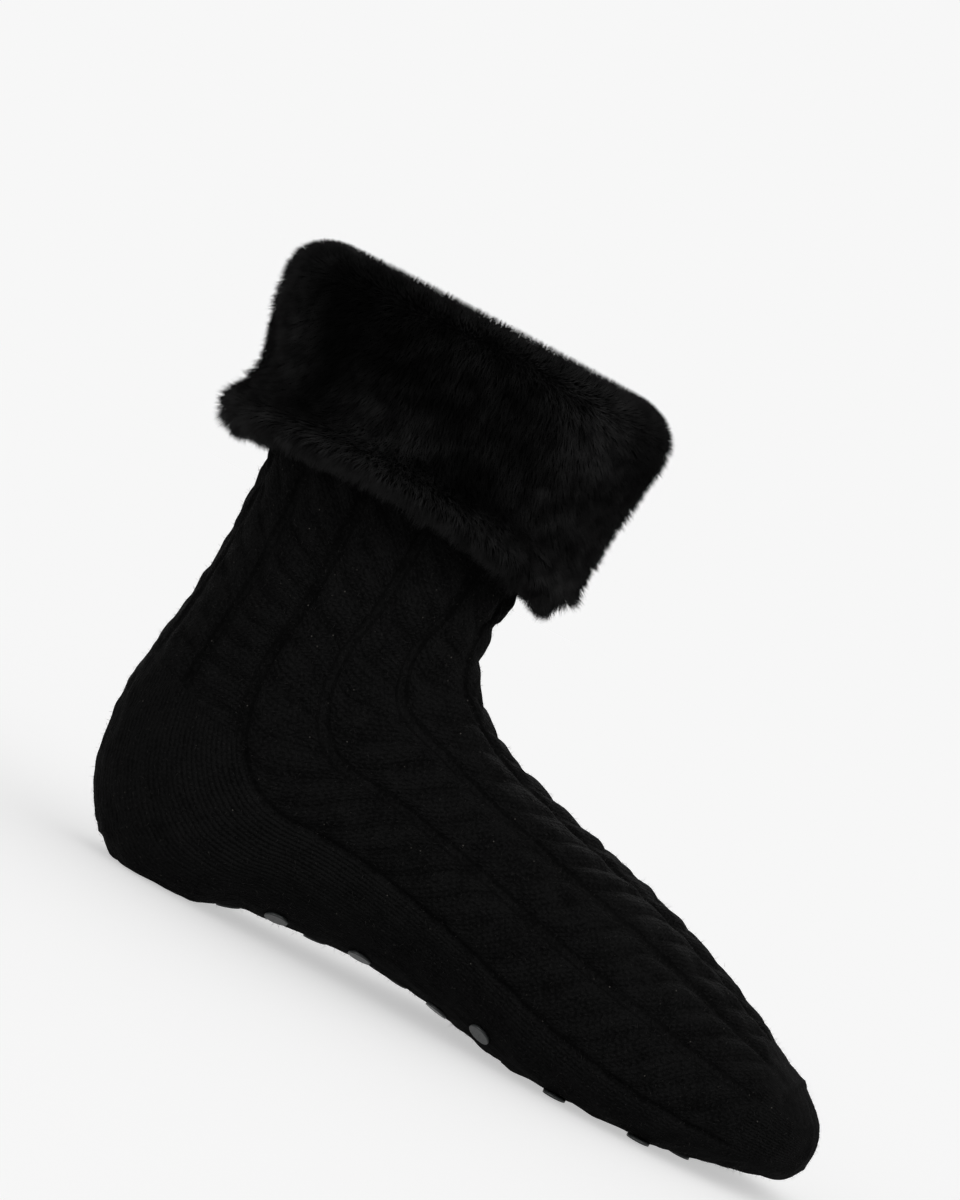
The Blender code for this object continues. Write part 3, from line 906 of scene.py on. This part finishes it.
    def folds(self, grid: Array) -> Array:
        """The soft creases at the front of the ankle.

        Args:
            grid: the knit's points, without relief.

        Returns:
            A height for each point.
        """
        total = np.zeros(grid.shape[:2])
        for height, turn, depth, spread in self.creases:
            off = turns_off(self.fields["turn"], turn)[None, :] / self.crease_turn
            total += depth * np.exp(-(((grid[..., 2] - height) / spread) ** 2) - off**2)
        return total

    def map_stitches(self, mesh: Mesh, column: Array, row: Array, chosen: Array) -> None:
        """Writes the map that the stitches follow, and the marks of purl, of the grooves where shade is
        painted, and of plain jersey.

        Args:
            mesh: the grid, not merged yet.
            column: the column of each vertex.
            row: the row of each vertex.
            chosen: the outer ring that each ring of the lining copies.
        """
        f = self.fields
        ring = np.concatenate([[0], np.arange(self.outer_rings), chosen, [0]])
        place = (ring[row], column % self.sides)
        outside = (row <= self.outer_rings).astype(float)
        across = np.abs(f["off"])
        purl = smooth_step(across, self.rope_share - 0.02, self.rope_share + 0.02)[None, :] * f["cabled"]
        channel = (smooth_step(across, self.rope_share - 0.03, 0.50) * f["sunk"] ** 2)[None, :]
        # Painted shade: the purl channels, deepest beside the sole, and the gaps between a rope's strands are
        # marked to darken the yarn's colour
        painted_groove_shade = np.maximum(channel, self.gap_shade * f["gap"]) * f["cabled"]
        fading = 1 - 0.8 * smooth_step(f["from_heel"], 0.070, 0.120)
        write_mark(mesh, "purl", purl[place] * outside)
        write_mark(mesh, "painted_groove_shade", painted_groove_shade[place] * outside)
        write_mark(mesh, "jersey", ((1 - f["cabled"]) * fading)[place])

        corner = read_values(mesh.loops, "vertex_index", 1, int)[:, 0]
        face_column, face_row = (k[corner].reshape(-1, 4).min(axis=1).repeat(4) for k in (column, row))
        turn = column[corner] / self.sides
        knit_column = np.rint((face_column + 0.5) / self.sides * self.columns).astype(int)
        off = turn * self.columns - knit_column
        length = f["along"][ring[row[corner]], knit_column]
        x = np.clip(off * np.where(turn < 0.5, 1.0, -1.0) / self.rope_share, -1.1, 1.1)
        strand = length / self.crossing_pitch + self.strand(x) + 0.5 * (knit_column % 2)
        leaning = (self.stitch_lean[0] * length + self.stitch_lean[1] * x) / self.course_height
        cabled = f["cabled"][ring[face_row], face_column % self.sides] > 0.5
        roped = cabled & (np.abs(off) < self.rope_share + 0.02)
        across_map = np.where(roped, self.strand_wales * strand, turn * self.wales)
        along_map = np.where(roped, leaning, length / self.course_height)
        values = np.stack([across_map, along_map], axis=1)
        layer = mesh.uv_layers.new(name="stitches")
        layer.data.foreach_set("uv", values.astype(np.float32).ravel())
        for old in [u for u in mesh.uv_layers if u.name != "stitches"]:
            mesh.uv_layers.remove(old)


@dataclass(frozen=True)
class LooseFibre:
    """Loose wool fibres: finer and a little paler than the yarn, so that they show as a haze."""

    name: str = "loose wool fibre"
    fibre: str = "#1b1a1a"
    pale: str = "#2f2e2c"
    patch_mm: float = 2.5

    def build(self) -> Material:
        """The material, paler here and there.

        Returns:
            The material.
        """
        made = Finish(self.name)
        tone = made.ranged(made.noise(self.patch_mm, 1.0), (0.5, 0.75))
        colour = made.blend(tone, self.fibre, self.pale)
        return made.done({"Base Color": colour, "Roughness": 0.8, "Specular IOR Level": 0.08})


@dataclass
class KnitFuzz:
    """Short loose fibres that stand off the knit, copied from one fibre."""

    count: int = 13000
    length: float = 0.0017
    width: float = 0.00011
    seed: int = 11
    top: float = 0.150
    bottom: float = 0.0025
    floor_room: float = 0.0006
    root_depth: float = 0.0001

    def build(self, sock: Object, knit: KnitSock) -> Object:
        """Grows the fibres on the outside of the sock.

        Args:
            sock: the knitted piece, whose faces carry the fibres.
            knit: what built it.

        Returns:
            One joined mesh.
        """
        rng = np.random.default_rng(self.seed)
        faces = sock.data.polygons
        centre, normal = read_values(faces, "center", 3), read_values(faces, "normal", 3)
        area = read_values(faces, "area", 1)[:, 0]
        # The faces of the outside come first, before those of the lining
        rows = knit.outer_rings + knit.inner_rings + 1
        outside = np.arange(len(area)) < int(len(area) * knit.outer_rings / rows)
        open_air = (centre[:, 2] < self.top) & (centre[:, 2] > self.bottom) & outside
        face = drawn_by_odds(area * open_air, self.count, rng)
        spread = np.sqrt(area[face])[:, None]
        roots = centre[face] + rng.normal(0, 0.35, (self.count, 3)) * spread - normal[face] * self.root_depth
        way = unit(normal[face] * 0.7 + rng.normal(0, 0.6, (self.count, 3)))
        tips = roots + way * (self.length * rng.uniform(0.4, 1.2, self.count))[:, None]
        tips[:, 2] = np.maximum(tips[:, 2], self.floor_room)
        widths = np.full(self.count, self.width)
        return join_copies("knit_fuzz", *cone_model(), roots, tips, widths, {})


@dataclass(frozen=True)
class PlushPile:
    """Black polyester plush, sheared: dense fine hairs that gleam a little along their length.

    Each hair is painted darker at its root as shade deep in the pile, and patches of painted sheen and shade
    lie over the pile, with painted light along the hem.
    """

    name: str = "black polyester plush"
    root: str = "#030303"
    tip: str = "#242424"
    cloud_mm: float = 6.0
    cloud_range: tuple = (0.36, 0.68)
    cloud_light: tuple = (0.42, 1.50)
    painted_light_base: float = 0.10
    tone_range: tuple = (0.05, 0.95)

    def build(self) -> Material:
        """The material, which reads the marks that the hairs carry.

        Returns:
            The material.
        """
        made = Finish(self.name)
        mottle = made.ranged(made.noise(self.cloud_mm, 3.0), self.cloud_range, self.cloud_light)
        # Painted sheen and shade: the pile's colour is raised in the marked patches and along the hem, and
        # lowered in the troughs
        lit = made.maths("MULTIPLY", made.maths("ADD", made.mark("painted_light"), self.painted_light_base), mottle)
        # Painted shade: the colour runs from the dark root colour at each hair's root to the tip colour, as
        # shade deep in the pile
        tone = made.ranged(made.maths("MULTIPLY", made.mark("hair"), lit), self.tone_range)
        return made.done(
            {
                "Base Color": made.blend(tone, self.root, self.tip),
                "Roughness": 0.72,
                "Specular IOR Level": 0.020,
                "Sheen Weight": 0.0015,
                "Sheen Roughness": 0.4,
            }
        )


@dataclass
class PlushCuff:
    """The turned-down band: a soft body with lumps and dents, and the pile that grows on it."""

    last: Last
    gap: float = 0.0003
    wall: float = 0.0030
    facet_room: float = 0.0005
    thickness: float = 0.0148
    crest: float = 0.0087
    drop_front: float = 0.0700
    drop_side: float = 0.0600
    drop_back: float = 0.0637
    turn_in: float = 0.0200
    turn_in_thickness: float = 0.0050
    inset: float = 0.0040
    body_sides: int = 192
    hairs: int = 170000
    pieces: int = 4
    hair_length: float = 0.0072
    hair_width: float = 0.00030
    root_depth: float = 0.0006
    inside_density: float = 0.45
    lean_inside: float = -0.35
    lean_outside: float = 0.85
    seed: int = 7
    # Rows of the outline, counted in plush_rows, over which a trait of the pile comes in
    outside_rows: tuple = (5.0, 9.5)
    lean_rows: tuple = (4.5, 9.0)
    hem_rows: tuple = (16.0, 19.0)
    rim_rows: tuple = (13.4, 16.4)
    # Size of the tufts and how far their tips draw together
    clumps: tuple = ((0.0027, 0.20), (0.00702, 0.11))
    # side (-1 in, 1 out), drop, reach: the CAD's outline of the plush
    plush_rows: tuple = (
        (-1, 0.97, 0.55),
        (-1, 0.82, 0.95),
        (-1, 0.55, 1.00),
        (-1, 0.28, 0.90),
        (-1, 0.09, 0.55),
        (1, 0.00, 0.16),
        (1, 0.03, 0.62),
        (1, 0.09, 0.90),
        (1, 0.18, 1.00),
        (1, 0.28, 1.01),
        (1, 0.38, 1.03),
        (1, 0.48, 1.01),
        (1, 0.57, 0.98),
        (1, 0.66, 0.96),
        (1, 0.74, 1.05),
        (1, 0.82, 1.24),
        (1, 0.90, 1.31),
        (1, 0.97, 1.16),
        (1, 1.00, 0.80),
        (1, 0.98, 0.44),
    )
    backing_rows: tuple = ((0.93, 0.16), (0.75, 0.10), (0.50, 0.06), (0.25, 0.02))
    # turn, drop, size, depth: troughs and lumps, the first eleven as in the CAD
    dents: tuple = (
        (0.13, 0.30, 1.0, 0.16),
        (0.22, 0.45, 1.3, -0.14),
        (0.31, 0.48, 0.9, 0.10),
        (0.40, 0.28, 1.1, 0.12),
        (0.36, 0.66, 1.2, -0.10),
        (0.47, 0.62, 0.9, -0.14),
        (0.19, 0.74, 1.1, -0.10),
        (0.62, 0.40, 1.2, 0.12),
        (0.72, 0.55, 1.1, -0.14),
        (0.83, 0.32, 1.1, 0.12),
        (0.93, 0.60, 1.0, -0.10),
    )

    # Painted light on the pile: a base level, and a paler band along the hem
    painted_light_level: float = 0.09
    painted_rim_light: float = 0.88
    # Patches of painted sheen, with a positive strength, and of painted shade, with a negative one: turn,
    # drop, half-width, half-height in metres, strength
    painted_light_patches: tuple = (
        (0.288, 0.66, 0.015, 0.008, 0.80),
        (0.130, 0.27, 0.011, 0.011, 0.95),
        (0.405, 0.52, 0.013, 0.012, 0.55),
        (0.134, 0.60, 0.013, 0.007, 0.60),
        (0.055, 0.64, 0.016, 0.018, 0.40),
        (0.215, 0.45, 0.008, 0.008, 0.22),
        (0.255, 0.20, 0.012, 0.008, 0.20),
        (0.190, 0.14, 0.010, 0.006, 0.20),
        (0.362, 0.45, 0.007, 0.018, -0.30),
        (0.215, 0.75, 0.034, 0.005, -0.26),
        (0.345, 0.80, 0.022, 0.004, -0.25),
        (0.470, 0.24, 0.014, 0.011, 0.50),
        (0.560, 0.58, 0.015, 0.009, 0.65),
        (0.640, 0.30, 0.012, 0.012, 0.60),
        (0.720, 0.66, 0.016, 0.008, 0.55),
        (0.790, 0.24, 0.011, 0.010, 0.75),
        (0.870, 0.60, 0.014, 0.010, 0.55),
        (0.950, 0.30, 0.014, 0.012, 0.50),
        (0.700, 0.78, 0.050, 0.005, -0.30),
    )

    @property
    def girth(self) -> float:
        """Length round the leg, halfway through the plush."""
        return math.pi * (self.last.leg_depth + self.last.leg_width + 2 * self.thickness) / 2

    def drop(self, turns: Array) -> Array:
        """How far the hem hangs below the crest.

        Args:
            turns: where.

        Returns:
            The drop at each turn.
        """
        ends = (self.drop_front + self.drop_back) / 2
        sway = (self.drop_front - self.drop_back) / 2
        made = self.drop_side + (ends - self.drop_side) * (np.cos(2 * FULL_TURN * turns) + 1) / 2
        return made + sway * np.cos(FULL_TURN * turns)

    def lumps(self, turns: Array, share: float) -> Array:
        """The dents' reach.

        Args:
            turns: where.
            share: of the drop.

        Returns:
            The reach at each turn.
        """
        total = np.zeros_like(turns)
        for turn, drop, size, depth in self.dents:
            across = turns_off(turns, turn) * self.girth / (size * self.thickness)
            down = (share - drop) * self.drop_side / (size * self.thickness)
            total += depth * self.thickness * np.exp(-(across**2) - down**2)
        return total

    def outline(self, turns: Array) -> tuple[Array, Array, Array]:
        """The cuff's section, row by row round its outline.

        Args:
            turns: where.

        Returns:
            Heights and reaches off the leg by row and turn, and by row whether plush grows there.
        """
        drop = self.drop(turns)
        collar = self.last.collar_height
        top = collar + self.gap + self.crest
        in_face = -(self.wall + self.facet_room + self.gap)
        rows = []
        for side, share, reach in self.plush_rows:
            if side < 0:
                height = top - share * (self.crest + self.gap + self.turn_in)
                rows.append((height, in_face - reach * self.turn_in_thickness, 1.0))
            else:
                lump = self.lumps(turns, share) * min(1, 4 * share)
                rows.append((top - share * drop, self.straightened(reach, share, turns) + lump, 1.0))
        for share, off in self.backing_rows:
            rows.append((top - share * drop, self.gap + off * self.thickness, 0.0))
        rows.append((collar + self.gap, self.gap, 0.0))
        for height in (collar + self.gap, collar - self.turn_in / 2, collar - self.turn_in + self.gap):
            rows.append((height, in_face, 0.0))
        heights, reaches = (np.array([r[k] + 0 * turns for r in rows]) for k in (0, 1))
        return heights, reaches, np.array([r[2] for r in rows])

    def straightened(self, reach: float, share: float, turns: Array) -> Array:
        """The skirt's reach off the leg: in front it hangs straight, behind it flares at the hem.

        Args:
            reach: of the row, as a share of the thickness.
            share: of the drop.
            turns: where.

        Returns:
            The reach at each turn.
        """
        front = np.clip(np.cos(FULL_TURN * turns), 0, 1) ** 1.5
        straight = max(reach, min(1.06, reach + share * 0.25))
        if share > 0.78:
            straight = min(reach, 1.08, 1.08 - 6 * (share - 0.92))
        return self.thickness * (reach + front * (straight - reach))

    def body_grid(self, sides: int, steps: int) -> tuple[Array, Array, Array]:
        """The body under the pile, as a grid of points.

        Args:
            sides: points round the leg.
            steps: points along the section between two rows of the plush.

        Returns:
            Points with the shape rows, sides, 3, their outward normals, and the plush mark by row.
        """
        turns = np.arange(sides) / sides
        heights, reaches, plush = self.outline(turns)
        count = len(plush)
        place = np.arange(count * steps) / steps
        low = place.astype(int)
        f = (place - low)[:, None]

        def soft(table: Array) -> Array:
            """Draws a smooth curve between plush rows and straight lines between the others.

            Args:
                table: heights or reaches by row and turn.

            Returns:
                The same with more rows.
            """
            p0, p1, p2, p3 = (table[(low + k) % count] for k in (-1, 0, 1, 2))
            curve = 0.5 * (2 * p1 + (p2 - p0) * f + (2 * p0 - 5 * p1 + 4 * p2 - p3) * f**2)
            curve += 0.5 * (3 * p1 - p0 - 3 * p2 + p3) * f**3
            straight = p1 + (p2 - p1) * f
            both = (plush[low] * plush[(low + 1) % count])[:, None]
            return curve * both + straight * (1 - both)

        heights, reaches = soft(heights), soft(reaches)
        mark = plush[low] * (1 - f[:, 0]) + plush[(low + 1) % count] * f[:, 0]
        points, normal = self.last.leg_outline(heights, np.broadcast_to(turns, heights.shape))
        points = points + normal * reaches[..., None]
        points[..., 2] = heights
        along = np.roll(points, -1, axis=0) - np.roll(points, 1, axis=0)
        around = np.roll(points, -1, axis=1) - np.roll(points, 1, axis=1)
        out = unit(np.cross(around, along))
        middle = points.mean(axis=0, keepdims=True)
        if np.einsum("ijk,ijk->", out, points - middle) < 0:
            out = -out
        crest = smooth_step(place, 3.0, 5.0) * (1 - smooth_step(place, 7.0, 10.5))
        depth = self.inset * mark * (1 - 0.55 * crest)
        return points - out * depth[:, None, None], out, mark

    def build_body(self) -> Object:
        """Builds the body's closed ring.

        Returns:
            The object.
        """
        points, _, _ = self.body_grid(self.body_sides, 3)
        rows = len(points)
        obj, column, row = sheet_of_quads("plush_cuff_body", self.body_sides, rows)
        set_points(obj.data, points[row % rows, column % self.body_sides])
        close_seams(obj)
        return obj

    def roots(self, rng: np.random.Generator) -> dict[str, Array]:
        """Places hairs evenly over the plush by its area, and fewer on the turned-in end.

        Args:
            rng: gives the places.

        Returns:
            By name, each hair's place, outward direction, direction along the outline, row and turn.
        """
        steps = 6
        points, out, mark = self.body_grid(256, steps)
        rows, sides = points.shape[:2]
        down = np.roll(points, -1, axis=0) - points
        across = np.roll(points, -1, axis=1) - points
        area = np.linalg.norm(np.cross(down, across), axis=2) * (mark > 0.5)[:, None]
        turned_in = sum(side < 0 for side, _, _ in self.plush_rows) * steps
        area *= np.where(np.arange(rows) < turned_in, self.inside_density, 1.0)[:, None]
        cell = drawn_by_odds(area.ravel(), self.hairs, rng)
        i, j = cell // sides, cell % sides
        a, b = rng.random((2, self.hairs, 1))
        along = unit(np.roll(points, -1, axis=0) - np.roll(points, 1, axis=0))
        return {
            "place": points[i, j] + a * down[i, j] + b * across[i, j],
            "out": out[i, j],
            "along": along[i, j],
            "row": (i + a[:, 0]) / steps,
            "turn": (j + b[:, 0]) / sides,
        }

    def grow(self) -> tuple[Array, Array, Array, Array, Array]:
        """Grows the hairs.

        Returns:
            Roots, tips, widths, turns and painted light of every hair.
        """
        rng = np.random.default_rng(self.seed)
        hair = self.roots(rng)
        row, turn = hair["row"], hair["turn"]
        outside, hem = smooth_step(row, *self.outside_rows), smooth_step(row, *self.hem_rows)
        length = self.hair_length * (0.50 + 0.50 * outside) * rng.uniform(0.80, 1.08, self.hairs)
        # The inside end hangs into the leg, so its pile leans the other way along the outline
        lean = np.where(row < 3.5, self.lean_inside, 0.0)
        lean += self.lean_outside * smooth_step(row, *self.lean_rows) * (1 - 0.35 * hem)
        swirl = 0.22 * np.sin(FULL_TURN * (3 * turn + 0.05 * row))
        swirl += 0.18 * np.sin(7 * FULL_TURN * turn + 0.9 * row)
        aside = unit(np.cross(hair["out"], hair["along"]))
        way = hair["out"] + lean[:, None] * hair["along"] + 0.35 * (swirl * outside)[:, None] * aside
        way = unit(unit(way) + rng.normal(0, 0.14, (self.hairs, 3)))
        tips = hair["place"] + way * length[:, None]
        # Along the crest, where the pile parts, the tufts stay looser, so that no gap shows
        loose = 1 - 0.75 * smooth_step(row, 3.0, 4.5) * (1 - smooth_step(row, 7.5, 9.5))
        tips = self.clumped(tips, hair["out"] * outside[:, None], loose[:, None], rng)
        width = self.hair_width * rng.uniform(0.75, 1.25, self.hairs)
        return hair["place"] - hair["out"] * self.root_depth, tips, width, turn, self.painted_light(row, turn)

    def painted_light(self, row: Array, turn: Array) -> Array:
        """Painted sheen and shade of the pile: paler on the lumps and along the hem, darker in the troughs.

        Args:
            row: of each hair along the outline.
            turn: of each hair.

        Returns:
            0 where it is painted darkest, about 1 where it is painted palest.
        """
        shares = [share if side > 0 else 0.0 for side, share, _ in self.plush_rows]
        drop = np.interp(row, np.arange(len(shares)), shares)
        total = np.full_like(turn, self.painted_light_level)
        for place, down, wide, tall, strength in self.painted_light_patches:
            across = turns_off(turn, place) * self.girth / wide
            along = (drop - down) * self.drop_side / tall
            total += strength * np.exp(-(across**2) - along**2)
        return np.clip(total + self.painted_rim_light * smooth_step(row, *self.rim_rows), 0.0, 1.15)

    def clumped(self, tips: Array, out: Array, loose: Array, rng: np.random.Generator) -> Array:
        """Draws the tips together into soft tufts, some of which stand a little higher.

        Args:
            tips: of the hairs.
            out: their outward directions, shorter where tufts don't stand up.
            loose: how much of the pull each hair takes.
            rng: gives each tuft's pull and height.

        Returns:
            The new tips.
        """
        pulled = tips.copy()
        for size, pull in self.clumps:
            shift = 0.35 * size * np.sin(tips[:, [1, 2, 0]] / size * 1.7)
            cell = np.floor((tips + shift) / size).astype(np.int64)
            # Three large primes give each cell a number of its own
            _, group = np.unique(cell @ np.array([73856093, 19349663, 83492791]), return_inverse=True)
            count = np.bincount(group)
            centre = np.stack([np.bincount(group, tips[:, k]) / count for k in range(3)], axis=1)
            strength = pull * rng.uniform(0.5, 1.3, len(count))
            pulled += (centre[group] - tips) * strength[group][:, None] * loose
            pulled += out * rng.normal(0, 0.08 * size, len(count))[group][:, None]
        return pulled

    def build_pile(self) -> list[Object]:
        """Builds the pile in a few joined meshes, copied from the one hair.

        Returns:
            The objects.
        """
        verts, faces = cone_model()
        roots, tips, widths, turns, painted_light = self.grow()
        made = []
        for k in range(self.pieces):
            part = (turns >= k / self.pieces) & (turns < (k + 1) / self.pieces)
            marks = {"hair": np.tile(verts[:, 2], part.sum()), "painted_light": painted_light[part].repeat(len(verts))}
            name = f"plush_pile_{k + 1}"
            made.append(join_copies(name, verts, faces, roots[part], tips[part], widths[part], marks))
        return made


@dataclass(frozen=True)
class PrintedRubber:
    """Dark grey silicone drops, screen printed: smooth with a soft gloss and a few pinholes."""

    name: str = "dark grey printed silicone"
    colour: str = "#202222"
    worn: str = "#292b2b"
    grain_mm: float = 0.6
    pinhole_mm: float = 0.2

    def build(self) -> Material:
        """The material, with a gloss that changes with its grain.

        Returns:
            The material.
        """
        made = Finish(self.name)
        grain = made.noise(self.grain_mm, 3.0)
        return made.done(
            {
                "Base Color": made.blend(made.ranged(grain, (0.4, 0.75)), self.colour, self.worn),
                "Roughness": made.ranged(grain, (0.3, 0.7), (0.30, 0.48)),
                "Normal": made.bump(0.25, self.pinhole_mm, grain),
                "IOR": 1.41,
                "Specular IOR Level": 0.38,
            }
        )


@dataclass
class GripDots:
    """The drops of silicone under the sole: one domed drop, copied to each CAD dot."""

    radius: float = 0.0037
    height: float = 0.0009
    sides: int = 32
    rim_drop: float = 0.62
    dome: float = 0.06
    # Rings of the face, as shares of the radius from the rim inwards
    face_rings: tuple = (0.10, 0.30, 0.30)

    def model(self) -> Mesh:
        """Models one drop: a disc with a rounded rim and a slightly domed face.

        Returns:
            Its mesh, standing on the floor.
        """
        deselect_all()
        bpy.ops.mesh.primitive_cylinder_add(
            vertices=self.sides, radius=self.radius, depth=self.height, location=(0, 0, self.height / 2)
        )
        drop = bpy.context.object
        bpy.ops.object.mode_set(mode="EDIT")
        bpy.ops.mesh.select_all(action="DESELECT")
        bpy.ops.object.mode_set(mode="OBJECT")
        for face in drop.data.polygons:
            face.select = face.normal.z > 0.9
        bpy.ops.object.mode_set(mode="EDIT")
        for share in self.face_rings:
            bpy.ops.mesh.inset(thickness=self.radius * share)
        bpy.ops.object.mode_set(mode="OBJECT")
        for vertex in drop.data.vertices:
            share = min(1.0, math.hypot(vertex.co.x, vertex.co.y) / self.radius)
            if vertex.co.z > self.height / 2:
                vertex.co.z = self.height * (1 - self.rim_drop * share**5 - self.dome * share**2)
        mesh = drop.data
        bpy.data.objects.remove(drop, do_unlink=True)
        return mesh

    def build(self, nodes: dict) -> list[tuple[str, Object]]:
        """A drop on each CAD dot.

        Args:
            nodes: the CAD's objects by name.

        Returns:
            Pairs of the CAD dot's name and the drop.
        """
        model = self.model()
        made = []
        for name in sorted(n for n in nodes if n.startswith("grip_dot_")):
            seat, facing = self.seat(nodes[name])
            turn = facing.to_track_quat("Z", "Y").to_matrix().to_4x4()
            mesh = model.copy()
            mesh.name = f"silicone_drop_{name[-2:]}"
            mesh.transform(Matrix.Translation(seat) @ turn)
            obj = bpy.data.objects.new(mesh.name, mesh)
            bpy.context.scene.collection.objects.link(obj)
            mesh.shade_smooth()
            made.append((name, obj))
        bpy.data.meshes.remove(model)
        return made

    def seat(self, node: Object) -> tuple[Vector, Vector]:
        """Finds where a CAD dot sits, from its own vertices.

        Args:
            node: the CAD's dot.

        Returns:
            The middle of its foot and the way that it faces.
        """
        co = read_values(node.data.vertices, "co", 3)
        centre = (co.min(axis=0) + co.max(axis=0)) / 2
        _, _, axes = np.linalg.svd(co - co.mean(axis=0))
        facing = axes[2] if axes[2][2] < 0 else -axes[2]
        depth = (co - centre) @ facing
        return Vector(centre + facing * depth.min()), Vector(facing)


@dataclass
class Studio:
    """Pale paper, soft light and a long lens, rolled as the photo shows the sock."""

    paper: float = 0.93
    picture_height: float = 0.3625
    picture_centre: tuple = (-0.0342, 0.0, 0.1198)
    roll: float = math.radians(27.5)
    elevation: float = math.radians(1.8)
    lens: float = 130.0
    sensor: float = 36.0
    ambient: float = 0.55
    floor_size: float = 8.0
    floor_tone: float = 0.80
    floor_drop: float = 0.0002
    aim: tuple = (-0.02, 0.0, 0.10)
    # name, place, size, power: a large key above the toe, a fill by the lens, a rim from behind
    lamps: tuple = (
        ("key", (0.55, -0.75, 0.85), 0.7, 20.0),
        ("fill", (-0.75, -0.90, 0.30), 0.9, 9.0),
        ("rim", (-0.25, 0.85, 0.75), 0.7, 14.0),
    )

    def build(self, lit: list[Object]) -> None:
        """World, floor, lights and camera.

        Args:
            lit: the pieces that the shaping lights fall on.
        """
        scene = bpy.context.scene
        scene.view_settings.view_transform = "Standard"
        self.build_world(scene)
        self.build_floor()
        self.build_lights(lit)
        self.build_camera(scene)

    def build_world(self, scene: Scene) -> None:
        """Even pale surroundings: what the lens sees is the paper, and the light is softer.

        Args:
            scene: takes them.
        """
        world = bpy.data.worlds.new("pale studio")
        world.use_nodes = True
        tree = world.node_tree
        tree.nodes.clear()
        seen = add_node(tree, "Background", {0: (self.paper, self.paper, self.paper, 1), 1: 1.0})
        light = add_node(tree, "Background", {0: (1, 1, 1, 1), 1: self.ambient})
        by_lens = add_node(tree, "LightPath").outputs["Is Camera Ray"]
        add_node(tree, "OutputWorld", {0: add_node(tree, "MixShader", {0: by_lens, 1: light, 2: seen})})
        scene.world = world

    def build_floor(self) -> None:
        """A wide sheet of paper that melts into the background and takes a soft contact shadow."""
        deselect_all()
        bpy.ops.mesh.primitive_plane_add(size=self.floor_size, location=(0, 0, -self.floor_drop))
        floor = bpy.context.object
        floor.name = "studio_floor"
        placed(floor)
        made = bpy.data.materials.new("matt white paper")
        made.use_nodes = True
        tree = made.node_tree
        tree.nodes.clear()
        tone = self.floor_tone
        matt = add_node(tree, "BsdfDiffuse", {0: (tone, tone, tone, 1)})
        glow = add_node(tree, "Emission", {0: (1, 1, 1, 1), 1: self.paper - tone * self.ambient})
        add_node(tree, "OutputMaterial", {0: add_node(tree, "AddShader", {0: matt, 1: glow})})
        floor.data.materials.append(made)

    def build_lights(self, lit: list[Object]) -> None:
        """Lamps that light the sock alone.

        Args:
            lit: its pieces.
        """
        group = bpy.data.collections.new("sock pieces")
        for obj in lit:
            group.objects.link(obj)
        for name, place, size, power in self.lamps:
            lamp = bpy.data.lights.new(name, "AREA")
            lamp.shape, lamp.size, lamp.energy = "DISK", size, power
            obj = bpy.data.objects.new(name, lamp)
            obj.location = place
            obj.rotation_mode = "QUATERNION"
            obj.rotation_quaternion = (Vector(self.aim) - Vector(place)).to_track_quat("-Z", "Y")
            bpy.context.scene.collection.objects.link(obj)
            obj.light_linking.receiver_collection = group

    def build_camera(self, scene: Scene) -> None:
        """The lens at the sock's side, just above the floor's level, rolled so that the cuff tilts.

        Args:
            scene: takes the camera.
        """
        data = bpy.data.cameras.new("lens")
        data.lens, data.sensor_width = self.lens, self.sensor
        camera = bpy.data.objects.new("camera", data)
        distance = self.picture_height * self.lens / self.sensor
        back = Vector((0, -math.cos(self.elevation), math.sin(self.elevation)))
        facing = (-back).to_track_quat("-Z", "Y").to_matrix()
        camera.rotation_mode = "QUATERNION"
        camera.rotation_quaternion = (facing @ Matrix.Rotation(self.roll, 3, "Z")).to_quaternion()
        camera.location = Vector(self.picture_centre) + back * distance
        data.clip_start, data.clip_end = 0.05, 50.0
        scene.collection.objects.link(camera)
        scene.camera = camera


def dress(obj: Object, material: Material, slot: Slot, *nodes: str) -> None:
    """Gives a piece its material and body, and hides the CAD nodes that it stands for.

    Args:
        obj: the piece.
        material: its finish.
        slot: not used.
        *nodes: the names of the CAD nodes.
    """
    obj.data.materials.clear()
    obj.data.materials.append(material)
    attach(obj, "root")
    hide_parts(*nodes)
    LOG.info("%s: %d faces", obj.name, len(obj.data.polygons))


def main() -> None:
    """Builds the sock's pieces and the studio."""
    logging.basicConfig(level=logging.INFO, format="%(message)s")
    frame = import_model()
    last = Last()
    knit, cuff = KnitSock(last), PlushCuff(last)
    wool, fibre, plush, rubber = (made().build() for made in (WoolKnit, LooseFibre, PlushPile, PrintedRubber))

    sock = knit.build()
    fuzz = KnitFuzz().build(sock, knit)
    pieces = [(sock, wool, Slot.KNIT, "knit_foot_and_leg"), (fuzz, fibre, Slot.KNIT, "knit_foot_and_leg")]
    pieces += [(made, plush, Slot.PLUSH, "plush_cuff") for made in (cuff.build_body(), *cuff.build_pile())]
    pieces += [(drop, rubber, Slot.RUBBER, dot) for dot, drop in GripDots().build(frame["nodes"])]
    for piece in pieces:
        dress(*piece)

    Studio().build([piece[0] for piece in pieces])


if __name__ == "__main__":
    main()
